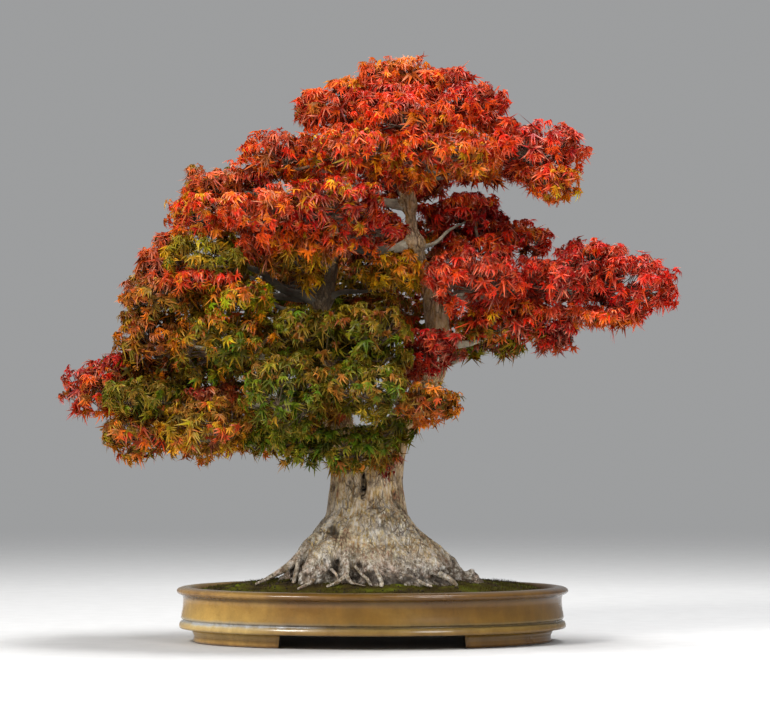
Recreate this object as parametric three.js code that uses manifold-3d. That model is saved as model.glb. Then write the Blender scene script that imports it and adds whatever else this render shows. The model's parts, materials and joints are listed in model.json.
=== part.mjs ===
// A Japanese maple bonsai in autumn colours, growing in a shallow oval glazed pot.
// Millimetres, +Z up. The origin is on the surface that the pot's feet stand on, under the pot's middle.
// The tree is seen from -Y: its long right branch reaches towards +X and its low green side towards -X.

import * as THREE from "three";
import { mergeVertices } from "three/addons/utils/BufferGeometryUtils.js";
import Module from "manifold-3d";

const wasm = await Module();
wasm.setup();

// Clearance between two pieces that touch
const CLEAR = 0.4;

// Pot: an oval bowl with a rolled lip, a bead round its base and four bracket feet
const POT_HALF_LENGTH = 250;
const POT_HALF_WIDTH = 180;
const POT_HEIGHT = 66;
const POT_SEGMENTS = 32;
const WALL = 9;
const FOOT_HEIGHT = 17;
const FLOOR_TOP = FOOT_HEIGHT + 8;
const LIP_OVERHANG = 8;
const LIP_HEIGHT = 9;
const WAIST_INSET = 9;
const BEAD_INSET = 4;
const BEAD_TOP = 27;
const FOOT_INSET = 18;
const FOOT_DEPTH = 24;
const FOOT_FROM_DEG = 11;
const FOOT_TO_DEG = 60;
const FOOT_ARC_STEPS = 5;

// Drainage and anchoring, hidden under the soil
const DRAIN_X = 105;
const DRAIN_RADIUS = 13;
const SCREEN_SIDE = 42;
const SCREEN_THICKNESS = 1.2;
const SCREEN_HOLE = 12;
const SCREEN_PITCH = 17;
const WIRE_RADIUS = 1;
const WIRE_HOLE_RADIUS = 4;
const WIRE_X = 72;
const WIRE_HALF_SPAN = 34;
const WIRE_TOP = 40;

// Soil mound and the moss that covers it
const SOIL_EDGE_HEIGHT = 57;
const SOIL_DOME = 9;
const MOSS_THICKNESS = 5;
const MOSS_INSET = 5;
const MOSS_HOLE = { halfX: 154, halfY: 116 };
const MOSS_SEGMENTS = 24;

// Trunk sections from below the soil to the fork: height, middle x, half width in x, half width in y
const TRUNK_SECTIONS = [
  [46, 0, 94, 75],
  [84, 0, 102, 82],
  [103, -2, 98, 79],
  [122, -4, 84, 69],
  [141, -8, 67, 58],
  [162, -7, 53, 48],
  [190, -6, 45.5, 41],
  [226, -5, 38, 33],
  [246, -4, 18, 20],
];
const TRUNK_SIDES = 16;

// A branch narrows by this share towards its tip, and a thin one has fewer sides
const BRANCH_TAPER = 0.55;
const THIN_BRANCH_RADIUS = 5;

// The dark cleft between the two stems, on the front of the trunk
const CLEFT = { x: -11.5, y: -41, z: 197, halfWidth: 4, halfDepth: 13, halfHeight: 17 };

// Limbs are points x, y, z and the radius there. First the surface roots, from the right and round the
// front, then the two stems above the fork.
const ROOTS = [
  [[70, -8, 114, 15], [104, -10, 94, 14], [125, -12, 79, 9], [141, -14, 61, 5]],
  [[62, -34, 112, 13], [92, -52, 88, 12], [112, -62, 63, 6]],
  [[36, -50, 112, 14], [56, -76, 84, 13], [64, -96, 60, 6]],
  [[-2, -56, 112, 13], [4, -84, 84, 12], [2, -102, 60, 6]],
  [[-30, -52, 110, 10], [-38, -82, 84, 7], [-49, -98, 61, 4]],
  [[-46, -42, 118, 19], [-69, -62, 90, 23], [-82, -74, 62, 13]],
  [[-60, -20, 148, 13], [-86, -30, 114, 15], [-106, -40, 84, 12], [-119, -46, 61, 6]],
  [[-84, 0, 112, 12], [-114, 2, 84, 8], [-147, 4, 61, 3.5]],
  [[-66, 34, 112, 13], [-94, 50, 84, 11], [-114, 62, 60, 6]],
  [[-34, 54, 112, 14], [-48, 80, 84, 12], [-56, 100, 60, 6]],
  [[12, 56, 112, 14], [16, 84, 84, 13], [20, 103, 60, 6]],
  [[58, 44, 112, 14], [86, 60, 84, 12], [104, 74, 60, 6]],
];

const RIGHT_STEM = [
  [10, 2, 196, 18],
  [20, 4, 236, 22],
  [28, 6, 262, 20.5],
  [43, 10, 285, 19],
  [60, 13, 311, 17.5],
  [78, 8, 345, 15.5],
  [84, 0, 380, 15],
  [81, -4, 420, 16],
  [72, 0, 457, 13.5],
  [56, 6, 496, 12],
  [48, -2, 545, 10],
  [43, -2, 590, 7.5],
  [36, 2, 640, 5],
  [29, 0, 704, 2.6],
];
const LEFT_STEM = [
  [-22, 0, 196, 18],
  [-31, 2, 236, 22],
  [-42, 4, 272, 18.5],
  [-56, 4, 325, 16],
  [-64, 0, 377, 14],
  [-66, -4, 415, 13],
  [-56, 2, 452, 9.5],
  [-48, 4, 506, 6.5],
  [-55, 0, 552, 4.5],
];

// The core of a foliage clump is this much smaller than the clump, sideways and upwards, and the leaves
// stand out of it
const LEAF_STAND_OUT = 13;
const LEAF_STAND_UP = 6;
const TWIG_RADIUS = 6;
const CORE_SIDES = 7;
const CORE_RINGS = 4;

// A leaf has five lobes and a stalk. Its outline is polar, round the raised point where the lobes meet: the
// angle from the middle lobe in degrees, then the reach and the drop as shares of the middle lobe's length.
const LOBE_LENGTH = 40;
const STALK_REACH = 0.52;
const STALK_DROP = 0.34;
const LEAF_OUTLINE = [
  [0, 1.0, 0.3],
  [21, 0.4, 0.03],
  [45, 0.92, 0.27],
  [69, 0.36, 0.03],
  [98, 0.74, 0.18],
  [150, 0.13, 0.02],
  [180, STALK_REACH, STALK_DROP],
  [210, 0.13, 0.02],
  [262, 0.74, 0.18],
  [291, 0.36, 0.03],
  [315, 0.92, 0.27],
  [339, 0.4, 0.03],
];
const LEAF_HALF_THICKNESS = 1.6;
const STALK_SINK = 9;
const LEAF_CLEAR = 0.8;
const AREA_PER_LEAF = 950;
const AREA_PER_BACK_LEAF = 1350;
const FEWEST_LEAVES = 3;
const LEAF_SPREAD = 0.6;
const SEATS_PER_CLUMP = 40;
const HEADING_SPREAD = 0.8;
const STEEPEST_DROOP = 0.95;
const FOLIAGE_SEED = 7;

const COLOURS = {
  scarlet: 0xb5271c,
  crimson: 0x8e1220,
  orange: 0xd2561d,
  coral: 0xc8452f,
  gold: 0xb98a1c,
  olive: 0x6e6a22,
  green: 0x55701c,
  bronze: 0x94602a,
};

// Foliage pads. Each clump is an ellipsoid with its leaves: x, y, z of its middle and its three half sizes.
// A branch runs from a stem, at height `from`, through its `via` points to its end in the pad.
const PADS = [
  {
    name: "apex_top", colour: "orange",
    clumps: [[29, 0, 720, 56, 58, 30], [42, -84, 666, 78, 50, 32]],
  },
  {
    name: "apex_right", colour: "scarlet", clumps: [[118, -4, 696, 60, 66, 34]],
    branch: { stem: RIGHT_STEM, from: 650, radius: 4, via: [[70, 0, 668]], end: [108, -2, 690] },
  },
  {
    name: "apex_left", colour: "coral", clumps: [[-55, 2, 684, 54, 62, 29]],
    branch: { stem: RIGHT_STEM, from: 638, radius: 4, via: [[0, 2, 655]], end: [-44, 2, 678] },
  },
  {
    name: "apex_back", colour: "scarlet", clumps: [[46, 86, 668, 80, 56, 34]],
    branch: { stem: RIGHT_STEM, from: 622, radius: 4, via: [[42, 40, 640]], end: [46, 76, 660] },
  },
  {
    name: "upper_left", colour: "orange",
    clumps: [[-114, -20, 625, 66, 60, 30], [-24, -116, 626, 66, 54, 33]],
    branch: {
      stem: RIGHT_STEM, from: 556, radius: 6.5,
      via: [[12, -8, 561], [-35, -24, 583]], end: [-92, -44, 612],
    },
  },
  {
    name: "upper_front", colour: "orange", clumps: [[92, -108, 622, 72, 58, 34]],
    branch: { stem: RIGHT_STEM, from: 576, radius: 5, via: [[62, -50, 588]], end: [86, -96, 612] },
  },
  {
    name: "upper_right", colour: "scarlet",
    clumps: [[206, -18, 630, 70, 70, 37], [226, -48, 588, 46, 52, 29]],
    branch: {
      stem: RIGHT_STEM, from: 590, radius: 6,
      via: [[92, -4, 588], [150, -8, 600]], end: [198, -16, 618],
    },
  },
  {
    name: "upper_back", colour: "scarlet",
    clumps: [[-62, 110, 624, 80, 60, 33], [58, 146, 612, 74, 56, 33]],
    branch: { stem: RIGHT_STEM, from: 566, radius: 5.5, via: [[30, 55, 580]], end: [0, 126, 615] },
  },
  {
    name: "upper_back_right", colour: "scarlet", clumps: [[168, 98, 620, 70, 58, 32]],
    branch: { stem: RIGHT_STEM, from: 600, radius: 4.5, via: [[92, 42, 600]], end: [152, 88, 612] },
  },
  {
    name: "third_left", colour: "coral",
    clumps: [[-202, -8, 586, 54, 60, 26], [-214, -74, 548, 55, 55, 31]],
    branch: {
      stem: LEFT_STEM, from: 545, radius: 4.5,
      via: [[-100, -4, 566], [-150, -14, 572]], end: [-200, -30, 574],
    },
  },
  {
    name: "third_front", colour: "scarlet",
    clumps: [[-138, -130, 545, 60, 55, 37], [-48, -140, 556, 68, 55, 37], [14, -84, 530, 34, 32, 22]],
    branch: {
      stem: RIGHT_STEM, from: 508, radius: 8,
      via: [[22, -24, 500], [-14, -52, 498]], end: [-44, -112, 534],
    },
  },
  {
    name: "third_gold", colour: "gold", clumps: [[-98, -84, 498, 58, 44, 25]],
    branch: { stem: LEFT_STEM, from: 470, radius: 4, via: [[-66, -35, 480]], end: [-88, -70, 492] },
  },
  {
    name: "third_back", colour: "scarlet",
    clumps: [[-170, 108, 561, 84, 60, 35], [-62, 160, 550, 80, 60, 35]],
    branch: { stem: LEFT_STEM, from: 520, radius: 5, via: [[-70, 60, 532]], end: [-110, 134, 553] },
  },
  {
    name: "fourth_olive", colour: "olive", clumps: [[-204, -92, 492, 62, 58, 34]],
    branch: {
      stem: LEFT_STEM, from: 416, radius: 7.5,
      via: [[-86, -12, 440], [-114, -24, 447], [-141, -44, 470]], end: [-188, -80, 484],
    },
  },
  {
    name: "fourth_edge", colour: "coral",
    clumps: [[-276, -10, 488, 42, 55, 34], [-268, -58, 442, 66, 58, 28]],
    branch: {
      stem: LEFT_STEM, from: 436, radius: 6,
      via: [[-130, 4, 440], [-200, -10, 452]], end: [-262, -30, 462],
    },
  },
  {
    name: "fourth_inner", colour: "gold", clumps: [[-166, -118, 441, 46, 44, 27]],
    branch: { stem: LEFT_STEM, from: 405, radius: 5, via: [[-100, -50, 420]], end: [-150, -102, 436] },
  },
  {
    name: "fourth_back", colour: "olive",
    clumps: [[-236, 98, 466, 84, 60, 35], [-112, 170, 472, 75, 56, 35]],
    branch: { stem: LEFT_STEM, from: 446, radius: 5.5, via: [[-104, 66, 452]], end: [-164, 137, 468] },
  },
  {
    name: "fifth_left", colour: "bronze",
    clumps: [[-274, -48, 382, 60, 64, 40], [-190, -132, 382, 68, 60, 42]],
    branch: {
      stem: LEFT_STEM, from: 350, radius: 7,
      via: [[-118, -36, 360], [-180, -70, 368]], end: [-228, -90, 376],
    },
  },
  {
    name: "fifth_mid", colour: "bronze",
    clumps: [[-90, -108, 398, 66, 50, 30], [-4, -118, 403, 58, 50, 34]],
    branch: { stem: LEFT_STEM, from: 374, radius: 5.5, via: [[-60, -54, 384]], end: [-48, -106, 396] },
  },
  {
    name: "fifth_back", colour: "bronze",
    clumps: [[-202, 118, 386, 80, 60, 36], [-62, 172, 388, 84, 60, 36]],
    branch: { stem: LEFT_STEM, from: 342, radius: 6, via: [[-86, 74, 358]], end: [-132, 144, 378] },
  },
  {
    name: "sixth_tip", colour: "coral", clumps: [[-345, -28, 330, 50, 58, 36]],
    branch: {
      stem: LEFT_STEM, from: 305, radius: 6.5,
      via: [[-130, -2, 308], [-230, -14, 314]], end: [-330, -26, 328],
    },
  },
  {
    name: "sixth_left", colour: "green", clumps: [[-282, -108, 318, 60, 55, 28]],
    branch: {
      stem: LEFT_STEM, from: 292, radius: 5.5,
      via: [[-110, -44, 298], [-190, -84, 304]], end: [-268, -106, 312],
    },
  },
  {
    name: "sixth_hump", colour: "green", clumps: [[-108, -186, 322, 58, 57, 52]],
    branch: {
      stem: LEFT_STEM, from: 312, radius: 6,
      via: [[-68, -70, 312]], end: [-102, -168, 320],
    },
  },
  {
    name: "sixth_mid", colour: "olive",
    clumps: [[-12, -168, 330, 62, 54, 37], [68, -124, 310, 44, 44, 28]],
    branch: { stem: RIGHT_STEM, from: 292, radius: 5.5, via: [[58, -56, 296]], end: [56, -118, 308] },
  },
  {
    name: "sixth_back", colour: "olive", clumps: [[-298, 88, 322, 72, 60, 32]],
    branch: {
      stem: LEFT_STEM, from: 284, radius: 5.5,
      via: [[-110, 44, 294], [-200, 74, 306]], end: [-284, 86, 316],
    },
  },
  {
    name: "bottom_left", colour: "bronze",
    clumps: [[-290, -88, 261, 64, 58, 40], [-204, -148, 268, 64, 58, 42]],
    branch: {
      stem: LEFT_STEM, from: 256, radius: 7,
      via: [[-96, -44, 256], [-170, -90, 256]], end: [-240, -120, 262],
    },
  },
  {
    name: "bottom_right", colour: "green",
    clumps: [[-116, -122, 248, 52, 50, 32], [-28, -110, 252, 64, 44, 32]],
    branch: { stem: LEFT_STEM, from: 236, radius: 6, via: [[-50, -62, 242]], end: [-74, -112, 248] },
  },
  {
    name: "bottom_back", colour: "bronze",
    clumps: [[-216, 58, 254, 88, 62, 34], [-96, 138, 264, 80, 60, 37]],
    branch: { stem: LEFT_STEM, from: 250, radius: 6, via: [[-84, 56, 252]], end: [-148, 102, 258] },
  },
  {
    name: "right_inner", colour: "crimson",
    clumps: [[96, 52, 553, 46, 46, 26], [146, 58, 545, 36, 42, 27], [184, 42, 516, 50, 56, 25]],
    branch: {
      stem: RIGHT_STEM, from: 502, radius: 4,
      via: [[80, -4, 509], [100, 4, 528]], end: [130, 49, 545],
    },
  },
  {
    name: "centre_gold", colour: "gold", clumps: [[32, -62, 472, 44, 42, 29]],
    branch: {
      stem: LEFT_STEM, from: 428, radius: 4.5,
      via: [[-41, -12, 445], [-4, -30, 448]], end: [26, -54, 466],
    },
  },
  {
    name: "right_tier", colour: "scarlet",
    clumps: [[126, -88, 464, 66, 58, 39], [236, -32, 464, 68, 74, 42], [325, -20, 453, 64, 68, 44]],
    branch: {
      stem: RIGHT_STEM, from: 425, radius: 9,
      via: [[122, -30, 432], [186, -38, 442]], end: [300, -24, 450],
    },
  },
  {
    name: "right_low", colour: "crimson",
    clumps: [[168, -42, 396, 66, 56, 25], [230, -20, 380, 37, 46, 25]],
    branch: { stem: RIGHT_STEM, from: 376, radius: 6, via: [[118, -18, 380]], end: [166, -36, 392] },
  },
  {
    name: "right_low_inner", colour: "crimson", clumps: [[76, -76, 378, 42, 38, 28]],
    branch: { stem: RIGHT_STEM, from: 352, radius: 4.5, via: [[82, -34, 360]], end: [78, -68, 372] },
  },
  {
    name: "right_back", colour: "scarlet",
    clumps: [[122, 122, 458, 84, 60, 37], [236, 92, 456, 64, 52, 35]],
    branch: { stem: RIGHT_STEM, from: 434, radius: 6, via: [[104, 52, 442]], end: [160, 106, 452] },
  },
  {
    name: "right_back_low", colour: "olive", clumps: [[134, 66, 376, 66, 54, 24]],
    branch: { stem: RIGHT_STEM, from: 340, radius: 5, via: [[96, 28, 352]], end: [126, 58, 368] },
  },
];

// Repeatable random numbers from 0 to 1
function seededRandom(seed) {
  let state = seed;
  return () => {
    state = (state + 0x6d2b79f5) | 0;
    let t = Math.imul(state ^ (state >>> 15), 1 | state);
    t = (t + Math.imul(t ^ (t >>> 7), 61 | t)) ^ t;
    return ((t ^ (t >>> 14)) >>> 0) / 4294967296;
  };
}

// A closed three.js geometry as a solid that can be joined and cut
function solidOf(geometry) {
  const bare = new THREE.BufferGeometry();
  bare.setAttribute("position", geometry.getAttribute("position"));
  bare.setIndex(geometry.getIndex());
  const merged = mergeVertices(bare, 1e-3);
  const corners = merged.index.array;
  const kept = [];
  for (let i = 0; i < corners.length; i += 3) {
    const [a, b, c] = corners.slice(i, i + 3);
    if (a !== b && b !== c && c !== a) kept.push(a, b, c);
  }
  const build = (triVerts) =>
    new wasm.Manifold(
      new wasm.Mesh({
        numProp: 3,
        vertProperties: merged.attributes.position.array,
        triVerts: new Uint32Array(triVerts),
      }),
    );
  const solid = build(kept);
  return solid.volume() > 0 ? solid : build(kept.reverse());
}

function geometryOf(solid) {
  const mesh = solid.getMesh();
  const positions = new Float32Array(mesh.numVert * 3);
  for (let i = 0; i < mesh.numVert; i++) {
    const from = i * mesh.numProp;
    positions.set(mesh.vertProperties.subarray(from, from + 3), i * 3);
  }
  const geometry = new THREE.BufferGeometry();
  geometry.setAttribute("position", new THREE.BufferAttribute(positions, 3));
  geometry.setIndex(new THREE.BufferAttribute(mesh.triVerts, 1));
  geometry.computeVertexNormals();
  return geometry;
}

function joined(solids) {
  return solids.reduce((whole, piece) => whole.add(piece));
}

// The largest body of a solid, so that loose scraps left by a cut are dropped
function largestBody(solid) {
  const bodies = solid.decompose();
  return bodies.reduce((best, body) => (body.volume() > best.volume() ? body : best));
}

// Moves every vertex of a geometry to the place that `place` works out for it
function reshape(geometry, place) {
  const positions = geometry.getAttribute("position");
  for (let i = 0; i < positions.count; i++) {
    const to = place(new THREE.Vector3().fromBufferAttribute(positions, i));
    positions.setXYZ(i, to.x, to.y, to.z);
  }
  return geometry;
}

// A lathed profile of [radius, height] points, turned to +Z and narrowed to the pot's oval all round
function ovalLathe(profile, segments = POT_SEGMENTS) {
  const points = profile.map(([radius, height]) => new THREE.Vector2(radius, height));
  const narrowing = POT_HALF_LENGTH - POT_HALF_WIDTH;
  const lathe = new THREE.LatheGeometry(points, segments).rotateX(Math.PI / 2);
  return solidOf(
    reshape(lathe, (p) => {
      const radius = Math.hypot(p.x, p.y);
      const share = radius > 0 ? Math.max(0, radius - narrowing) / radius : 0;
      return p.setY(p.y * share);
    }),
  );
}

function ovalPoint(halfLength, degrees) {
  const angle = THREE.MathUtils.degToRad(degrees);
  const halfWidth = halfLength - (POT_HALF_LENGTH - POT_HALF_WIDTH);
  return new THREE.Vector2(halfLength * Math.cos(angle), halfWidth * Math.sin(angle));
}

function uprightCylinder(x, y, radius, bottom, top, sides) {
  const cylinder = new THREE.CylinderGeometry(radius, radius, top - bottom, sides);
  return solidOf(cylinder.rotateX(Math.PI / 2).translate(x, y, (top + bottom) / 2));
}

// One bracket foot, as an arc of the pot's oval that runs between two angles
function potFoot(fromDeg, toDeg) {
  const outer = [];
  const inner = [];
  for (let i = 0; i <= FOOT_ARC_STEPS; i++) {
    const degrees = fromDeg + ((toDeg - fromDeg) * i) / FOOT_ARC_STEPS;
    outer.push(ovalPoint(POT_HALF_LENGTH - FOOT_INSET, degrees));
    inner.push(ovalPoint(POT_HALF_LENGTH - FOOT_INSET - FOOT_DEPTH, degrees));
  }
  const outline = new THREE.Shape([...outer, ...inner.reverse()]);
  const depth = FOOT_HEIGHT + 2;
  return solidOf(new THREE.ExtrudeGeometry(outline, { depth, bevelEnabled: false }));
}

function wireHoleSpots() {
  return [-1, 1].flatMap((side) => [-1, 1].map((end) => [side * WIRE_X, end * WIRE_HALF_SPAN]));
}

function makePot() {
  const length = POT_HALF_LENGTH;
  const lipBottom = POT_HEIGHT - LIP_HEIGHT;
  const inside = length - WAIST_INSET - WALL;
  const bowl = ovalLathe([
    [0, FOOT_HEIGHT],
    [length - BEAD_INSET - 8, FOOT_HEIGHT],
    [length - BEAD_INSET, FOOT_HEIGHT + 4],
    [length - BEAD_INSET - 2, BEAD_TOP],
    [length - WAIST_INSET, BEAD_TOP + 7],
    [length - WAIST_INSET, lipBottom - 2],
    [length - LIP_OVERHANG + 3, lipBottom],
    [length, lipBottom + 3.5],
    [length - 3, POT_HEIGHT],
    [inside - 2, POT_HEIGHT - 2],
    [inside, lipBottom - 4],
    [inside - 10, FLOOR_TOP],
    [0, FLOOR_TOP],
  ]);
  const feet = [0, 180].flatMap((turn) => [
    potFoot(turn + FOOT_FROM_DEG, turn + FOOT_TO_DEG),
    potFoot(turn - FOOT_TO_DEG, turn - FOOT_FROM_DEG),
  ]);
  const drill = (x, y, radius, sides) =>
    uprightCylinder(x, y, radius, FOOT_HEIGHT - 5, FLOOR_TOP + 5, sides);
  const drains = [-DRAIN_X, DRAIN_X].map((x) => drill(x, 0, DRAIN_RADIUS, 10));
  const wireHoles = wireHoleSpots().map(([x, y]) => drill(x, y, WIRE_HOLE_RADIUS, 5));
  return joined([bowl, ...feet]).subtract(joined([...drains, ...wireHoles]));
}

function screenPlate(grow = 0) {
  const side = SCREEN_SIDE + 2 * grow;
  return new THREE.BoxGeometry(side, side, SCREEN_THICKNESS + 2 * grow);
}

function screenSpot(side) {
  return new THREE.Vector3(side * DRAIN_X, 0, FLOOR_TOP + CLEAR + SCREEN_THICKNESS / 2);
}

// A square of coarse plastic mesh that lies over a drain hole
function makeScreen() {
  const rows = [-0.5, 0.5].map((step) => step * SCREEN_PITCH);
  const holes = rows.flatMap((x) =>
    rows.map((y) => solidOf(new THREE.BoxGeometry(SCREEN_HOLE, SCREEN_HOLE, 5).translate(x, y, 0))),
  );
  return solidOf(screenPlate()).subtract(joined(holes));
}

// An anchor wire: a loop under the pot floor whose two legs rise through holes into the root mass
function makeWire(side, grow = 0) {
  const x = side * WIRE_X;
  const span = WIRE_HALF_SPAN;
  const under = FOOT_HEIGHT - WIRE_RADIUS - CLEAR;
  const route = [
    [x - side * 10, -span + 6, WIRE_TOP],
    [x, -span, FLOOR_TOP + 3],
    [x, -span, FOOT_HEIGHT],
    [x, -span + 4, under],
    [x, span - 4, under],
    [x, span, FOOT_HEIGHT],
    [x, span, FLOOR_TOP + 3],
    [x - side * 10, span - 6, WIRE_TOP],
  ];
  return makeLimb(route.map((spot) => [...spot, WIRE_RADIUS]), 5, 2, grow);
}

// A round limb through points x, y, z, radius, with `cuts` segments between each two of them.
// `grow` gives the same limb with clearance all round it.
function makeLimb(points, sides, cuts, grow = 0) {
  const spots = points.map(([x, y, z]) => new THREE.Vector3(x, y, z));
  const curve = new THREE.CatmullRomCurve3(spots, false, "centripetal");
  const steps = cuts * (points.length - 1);
  const side = new THREE.Vector3(0.31, 0.87, 0.38);
  const rings = Array.from({ length: steps + 1 }, (_, step) => {
    const tangent = curve.getTangent(step / steps);
    side.addScaledVector(tangent, -side.dot(tangent)).normalize();
    const low = Math.min(Math.floor(step / cuts), points.length - 2);
    const radius = THREE.MathUtils.lerp(points[low][3], points[low + 1][3], step / cuts - low);
    const past = step === steps ? grow : step === 0 ? -grow : 0;
    return {
      middle: curve.getPoint(step / steps).addScaledVector(tangent, past),
      side: side.clone(),
      other: new THREE.Vector3().crossVectors(tangent, side),
      radius: radius + grow,
    };
  });
  const tube = new THREE.CylinderGeometry(1, 1, 1, sides, steps).toNonIndexed();
  return solidOf(
    reshape(tube, (p) => {
      const ring = rings[Math.round((p.y + 0.5) * steps)];
      return ring.middle
        .clone()
        .addScaledVector(ring.side, p.x * ring.radius)
        .addScaledVector(ring.other, p.z * ring.radius);
    }),
  );
}

function pointOnStem(stem, height) {
  const above = stem.findIndex(([, , z]) => z >= height);
  const low = new THREE.Vector3(...stem[above - 1]);
  const high = new THREE.Vector3(...stem[above]);
  return low.lerp(high, (height - stem[above - 1][2]) / (stem[above][2] - stem[above - 1][2]));
}

function makeTrunk(grow) {
  const bands = TRUNK_SECTIONS.length - 1;
  const drum = new THREE.CylinderGeometry(1, 1, 1, TRUNK_SIDES, bands).toNonIndexed();
  return solidOf(
    reshape(drum, (p) => {
      const band = Math.round((p.y + 0.5) * bands);
      const [height, x, halfX, halfY] = TRUNK_SECTIONS[band];
      const past = band === bands ? grow : band === 0 ? -grow : 0;
      return new THREE.Vector3(x + p.x * (halfX + grow), -p.z * (halfY + grow), height + past);
    }),
  );
}

function makeBranch({ stem, from, radius, via, end }, grow) {
  const spots = [pointOnStem(stem, from).toArray(), ...via, end];
  const taper = BRANCH_TAPER / (spots.length - 1);
  const points = spots.map((spot, i) => [...spot, radius * (1 - taper * i)]);
  return makeLimb(points, radius < THIN_BRANCH_RADIUS ? 4 : 5, 1, grow);
}

// Trunk, roots, stems and branches: all of the wood, which grew as one piece
function makeWood(grow = 0) {
  const stems = [makeLimb(RIGHT_STEM, 7, 1, grow), makeLimb(LEFT_STEM, 6, 1, grow)];
  const roots = ROOTS.map((root) => makeLimb(root, 5, 1, grow));
  const branches = PADS.filter((pad) => pad.branch).map((pad) => makeBranch(pad.branch, grow));
  const wood = joined([makeTrunk(grow), ...stems, ...roots, ...branches]);
  if (grow) return wood;
  const cleft = new THREE.SphereGeometry(1, 8, 6)
    .rotateX(Math.PI / 2)
    .scale(CLEFT.halfWidth, CLEFT.halfDepth, CLEFT.halfHeight)
    .translate(CLEFT.x, CLEFT.y, CLEFT.z);
  return wood.subtract(solidOf(cleft));
}

// How high the soil stands at a share of the way from the middle to the wall
function soilHeight(share) {
  return SOIL_EDGE_HEIGHT + SOIL_DOME * (1 - share * share);
}

function makeSoil(woodRoom) {
  const wall = POT_HALF_LENGTH - WAIST_INSET - WALL - CLEAR * 2;
  const soil = ovalLathe([
    [0, FLOOR_TOP + CLEAR],
    [wall - 10, FLOOR_TOP + CLEAR],
    [wall - 2, soilHeight(1)],
    [wall * 0.7, soilHeight(0.7)],
    [0, soilHeight(0)],
  ]);
  const pockets = [-1, 1].map((side) =>
    solidOf(screenPlate(CLEAR).translate(...screenSpot(side).toArray())),
  );
  const channels = [-1, 1].map((side) => makeWire(side, CLEAR));
  return largestBody(soil.subtract(joined([woodRoom, ...pockets, ...channels])));
}

// A mat of moss over the soil, open round the roots
function makeMoss() {
  const wall = POT_HALF_LENGTH - WAIST_INSET - WALL - MOSS_INSET;
  const mat = ovalLathe(
    [
      [0, soilHeight(0) + CLEAR],
      [wall * 0.7, soilHeight(0.7) + CLEAR + 0.5],
      [wall, soilHeight(1) + CLEAR + 0.5],
      [wall + 1, soilHeight(1) + 2.5],
      [wall * 0.9, soilHeight(0.9) + MOSS_THICKNESS],
      [0, soilHeight(0) + MOSS_THICKNESS],
    ],
    MOSS_SEGMENTS,
  );
  const hole = new THREE.CylinderGeometry(1, 1, 60, MOSS_SEGMENTS)
    .rotateX(Math.PI / 2)
    .scale(MOSS_HOLE.halfX, MOSS_HOLE.halfY, 1)
    .translate(0, 0, 60);
  return mat.subtract(solidOf(hole));
}

function makeCore([x, y, z, halfX, halfY, halfZ], grow = 0) {
  const core = new THREE.SphereGeometry(1, CORE_SIDES, CORE_RINGS)
    .rotateX(Math.PI / 2)
    .scale(
      halfX - LEAF_STAND_OUT + grow,
      halfY - LEAF_STAND_OUT + grow,
      halfZ - LEAF_STAND_UP + grow,
    )
    .translate(x, y, z);
  return solidOf(core);
}

// One leaf, as a thin arched star. Its stalk end is at `foot` and its middle lobe points along `along`.
function makeLeaf({ foot, along, up, size }, grow = 0) {
  const across = new THREE.Vector3().crossVectors(up, along).normalize();
  const face = new THREE.Vector3().crossVectors(along, across).normalize();
  const middle = foot
    .clone()
    .addScaledVector(along, STALK_REACH * size)
    .addScaledVector(face, STALK_DROP * size);
  const count = LEAF_OUTLINE.length;
  const star = new THREE.SphereGeometry(1, count, 2).toNonIndexed();
  return solidOf(
    reshape(star, (p) => {
      const turn = Math.atan2(p.z, p.x) / (2 * Math.PI);
      const corner = Math.round((turn + 1) * count) % count;
      const [degrees, share, drop] = LEAF_OUTLINE[corner];
      const angle = THREE.MathUtils.degToRad(degrees);
      const atPole = Math.abs(p.y) > 0.5;
      const reach = atPole ? 0 : share * size + grow;
      const lift = atPole ? Math.sign(p.y) * (LEAF_HALF_THICKNESS + grow) : -drop * size;
      return middle
        .clone()
        .addScaledVector(along, reach * Math.cos(angle))
        .addScaledVector(across, reach * Math.sin(angle))
        .addScaledVector(face, lift);
    }),
  );
}

// Golden-angle directions over the upper half of a sphere
function seatDirections(random) {
  const golden = Math.PI * (3 - Math.sqrt(5));
  const turn = random() * 2 * Math.PI;
  return Array.from({ length: SEATS_PER_CLUMP }, (_, i) => {
    const z = 0.97 - (0.97 * (i + 0.5)) / SEATS_PER_CLUMP;
    const flat = Math.sqrt(1 - z * z);
    const angle = turn + i * golden;
    return new THREE.Vector3(flat * Math.cos(angle), flat * Math.sin(angle), z);
  });
}

function coreHalfSizes([, , , halfX, halfY, halfZ]) {
  return new THREE.Vector3(
    halfX - LEAF_STAND_OUT,
    halfY - LEAF_STAND_OUT,
    halfZ - LEAF_STAND_UP,
  );
}

function insideCore(point, clump) {
  const [x, y, z] = clump;
  return point.clone().sub(new THREE.Vector3(x, y, z)).divide(coreHalfSizes(clump)).length() < 1;
}

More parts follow.
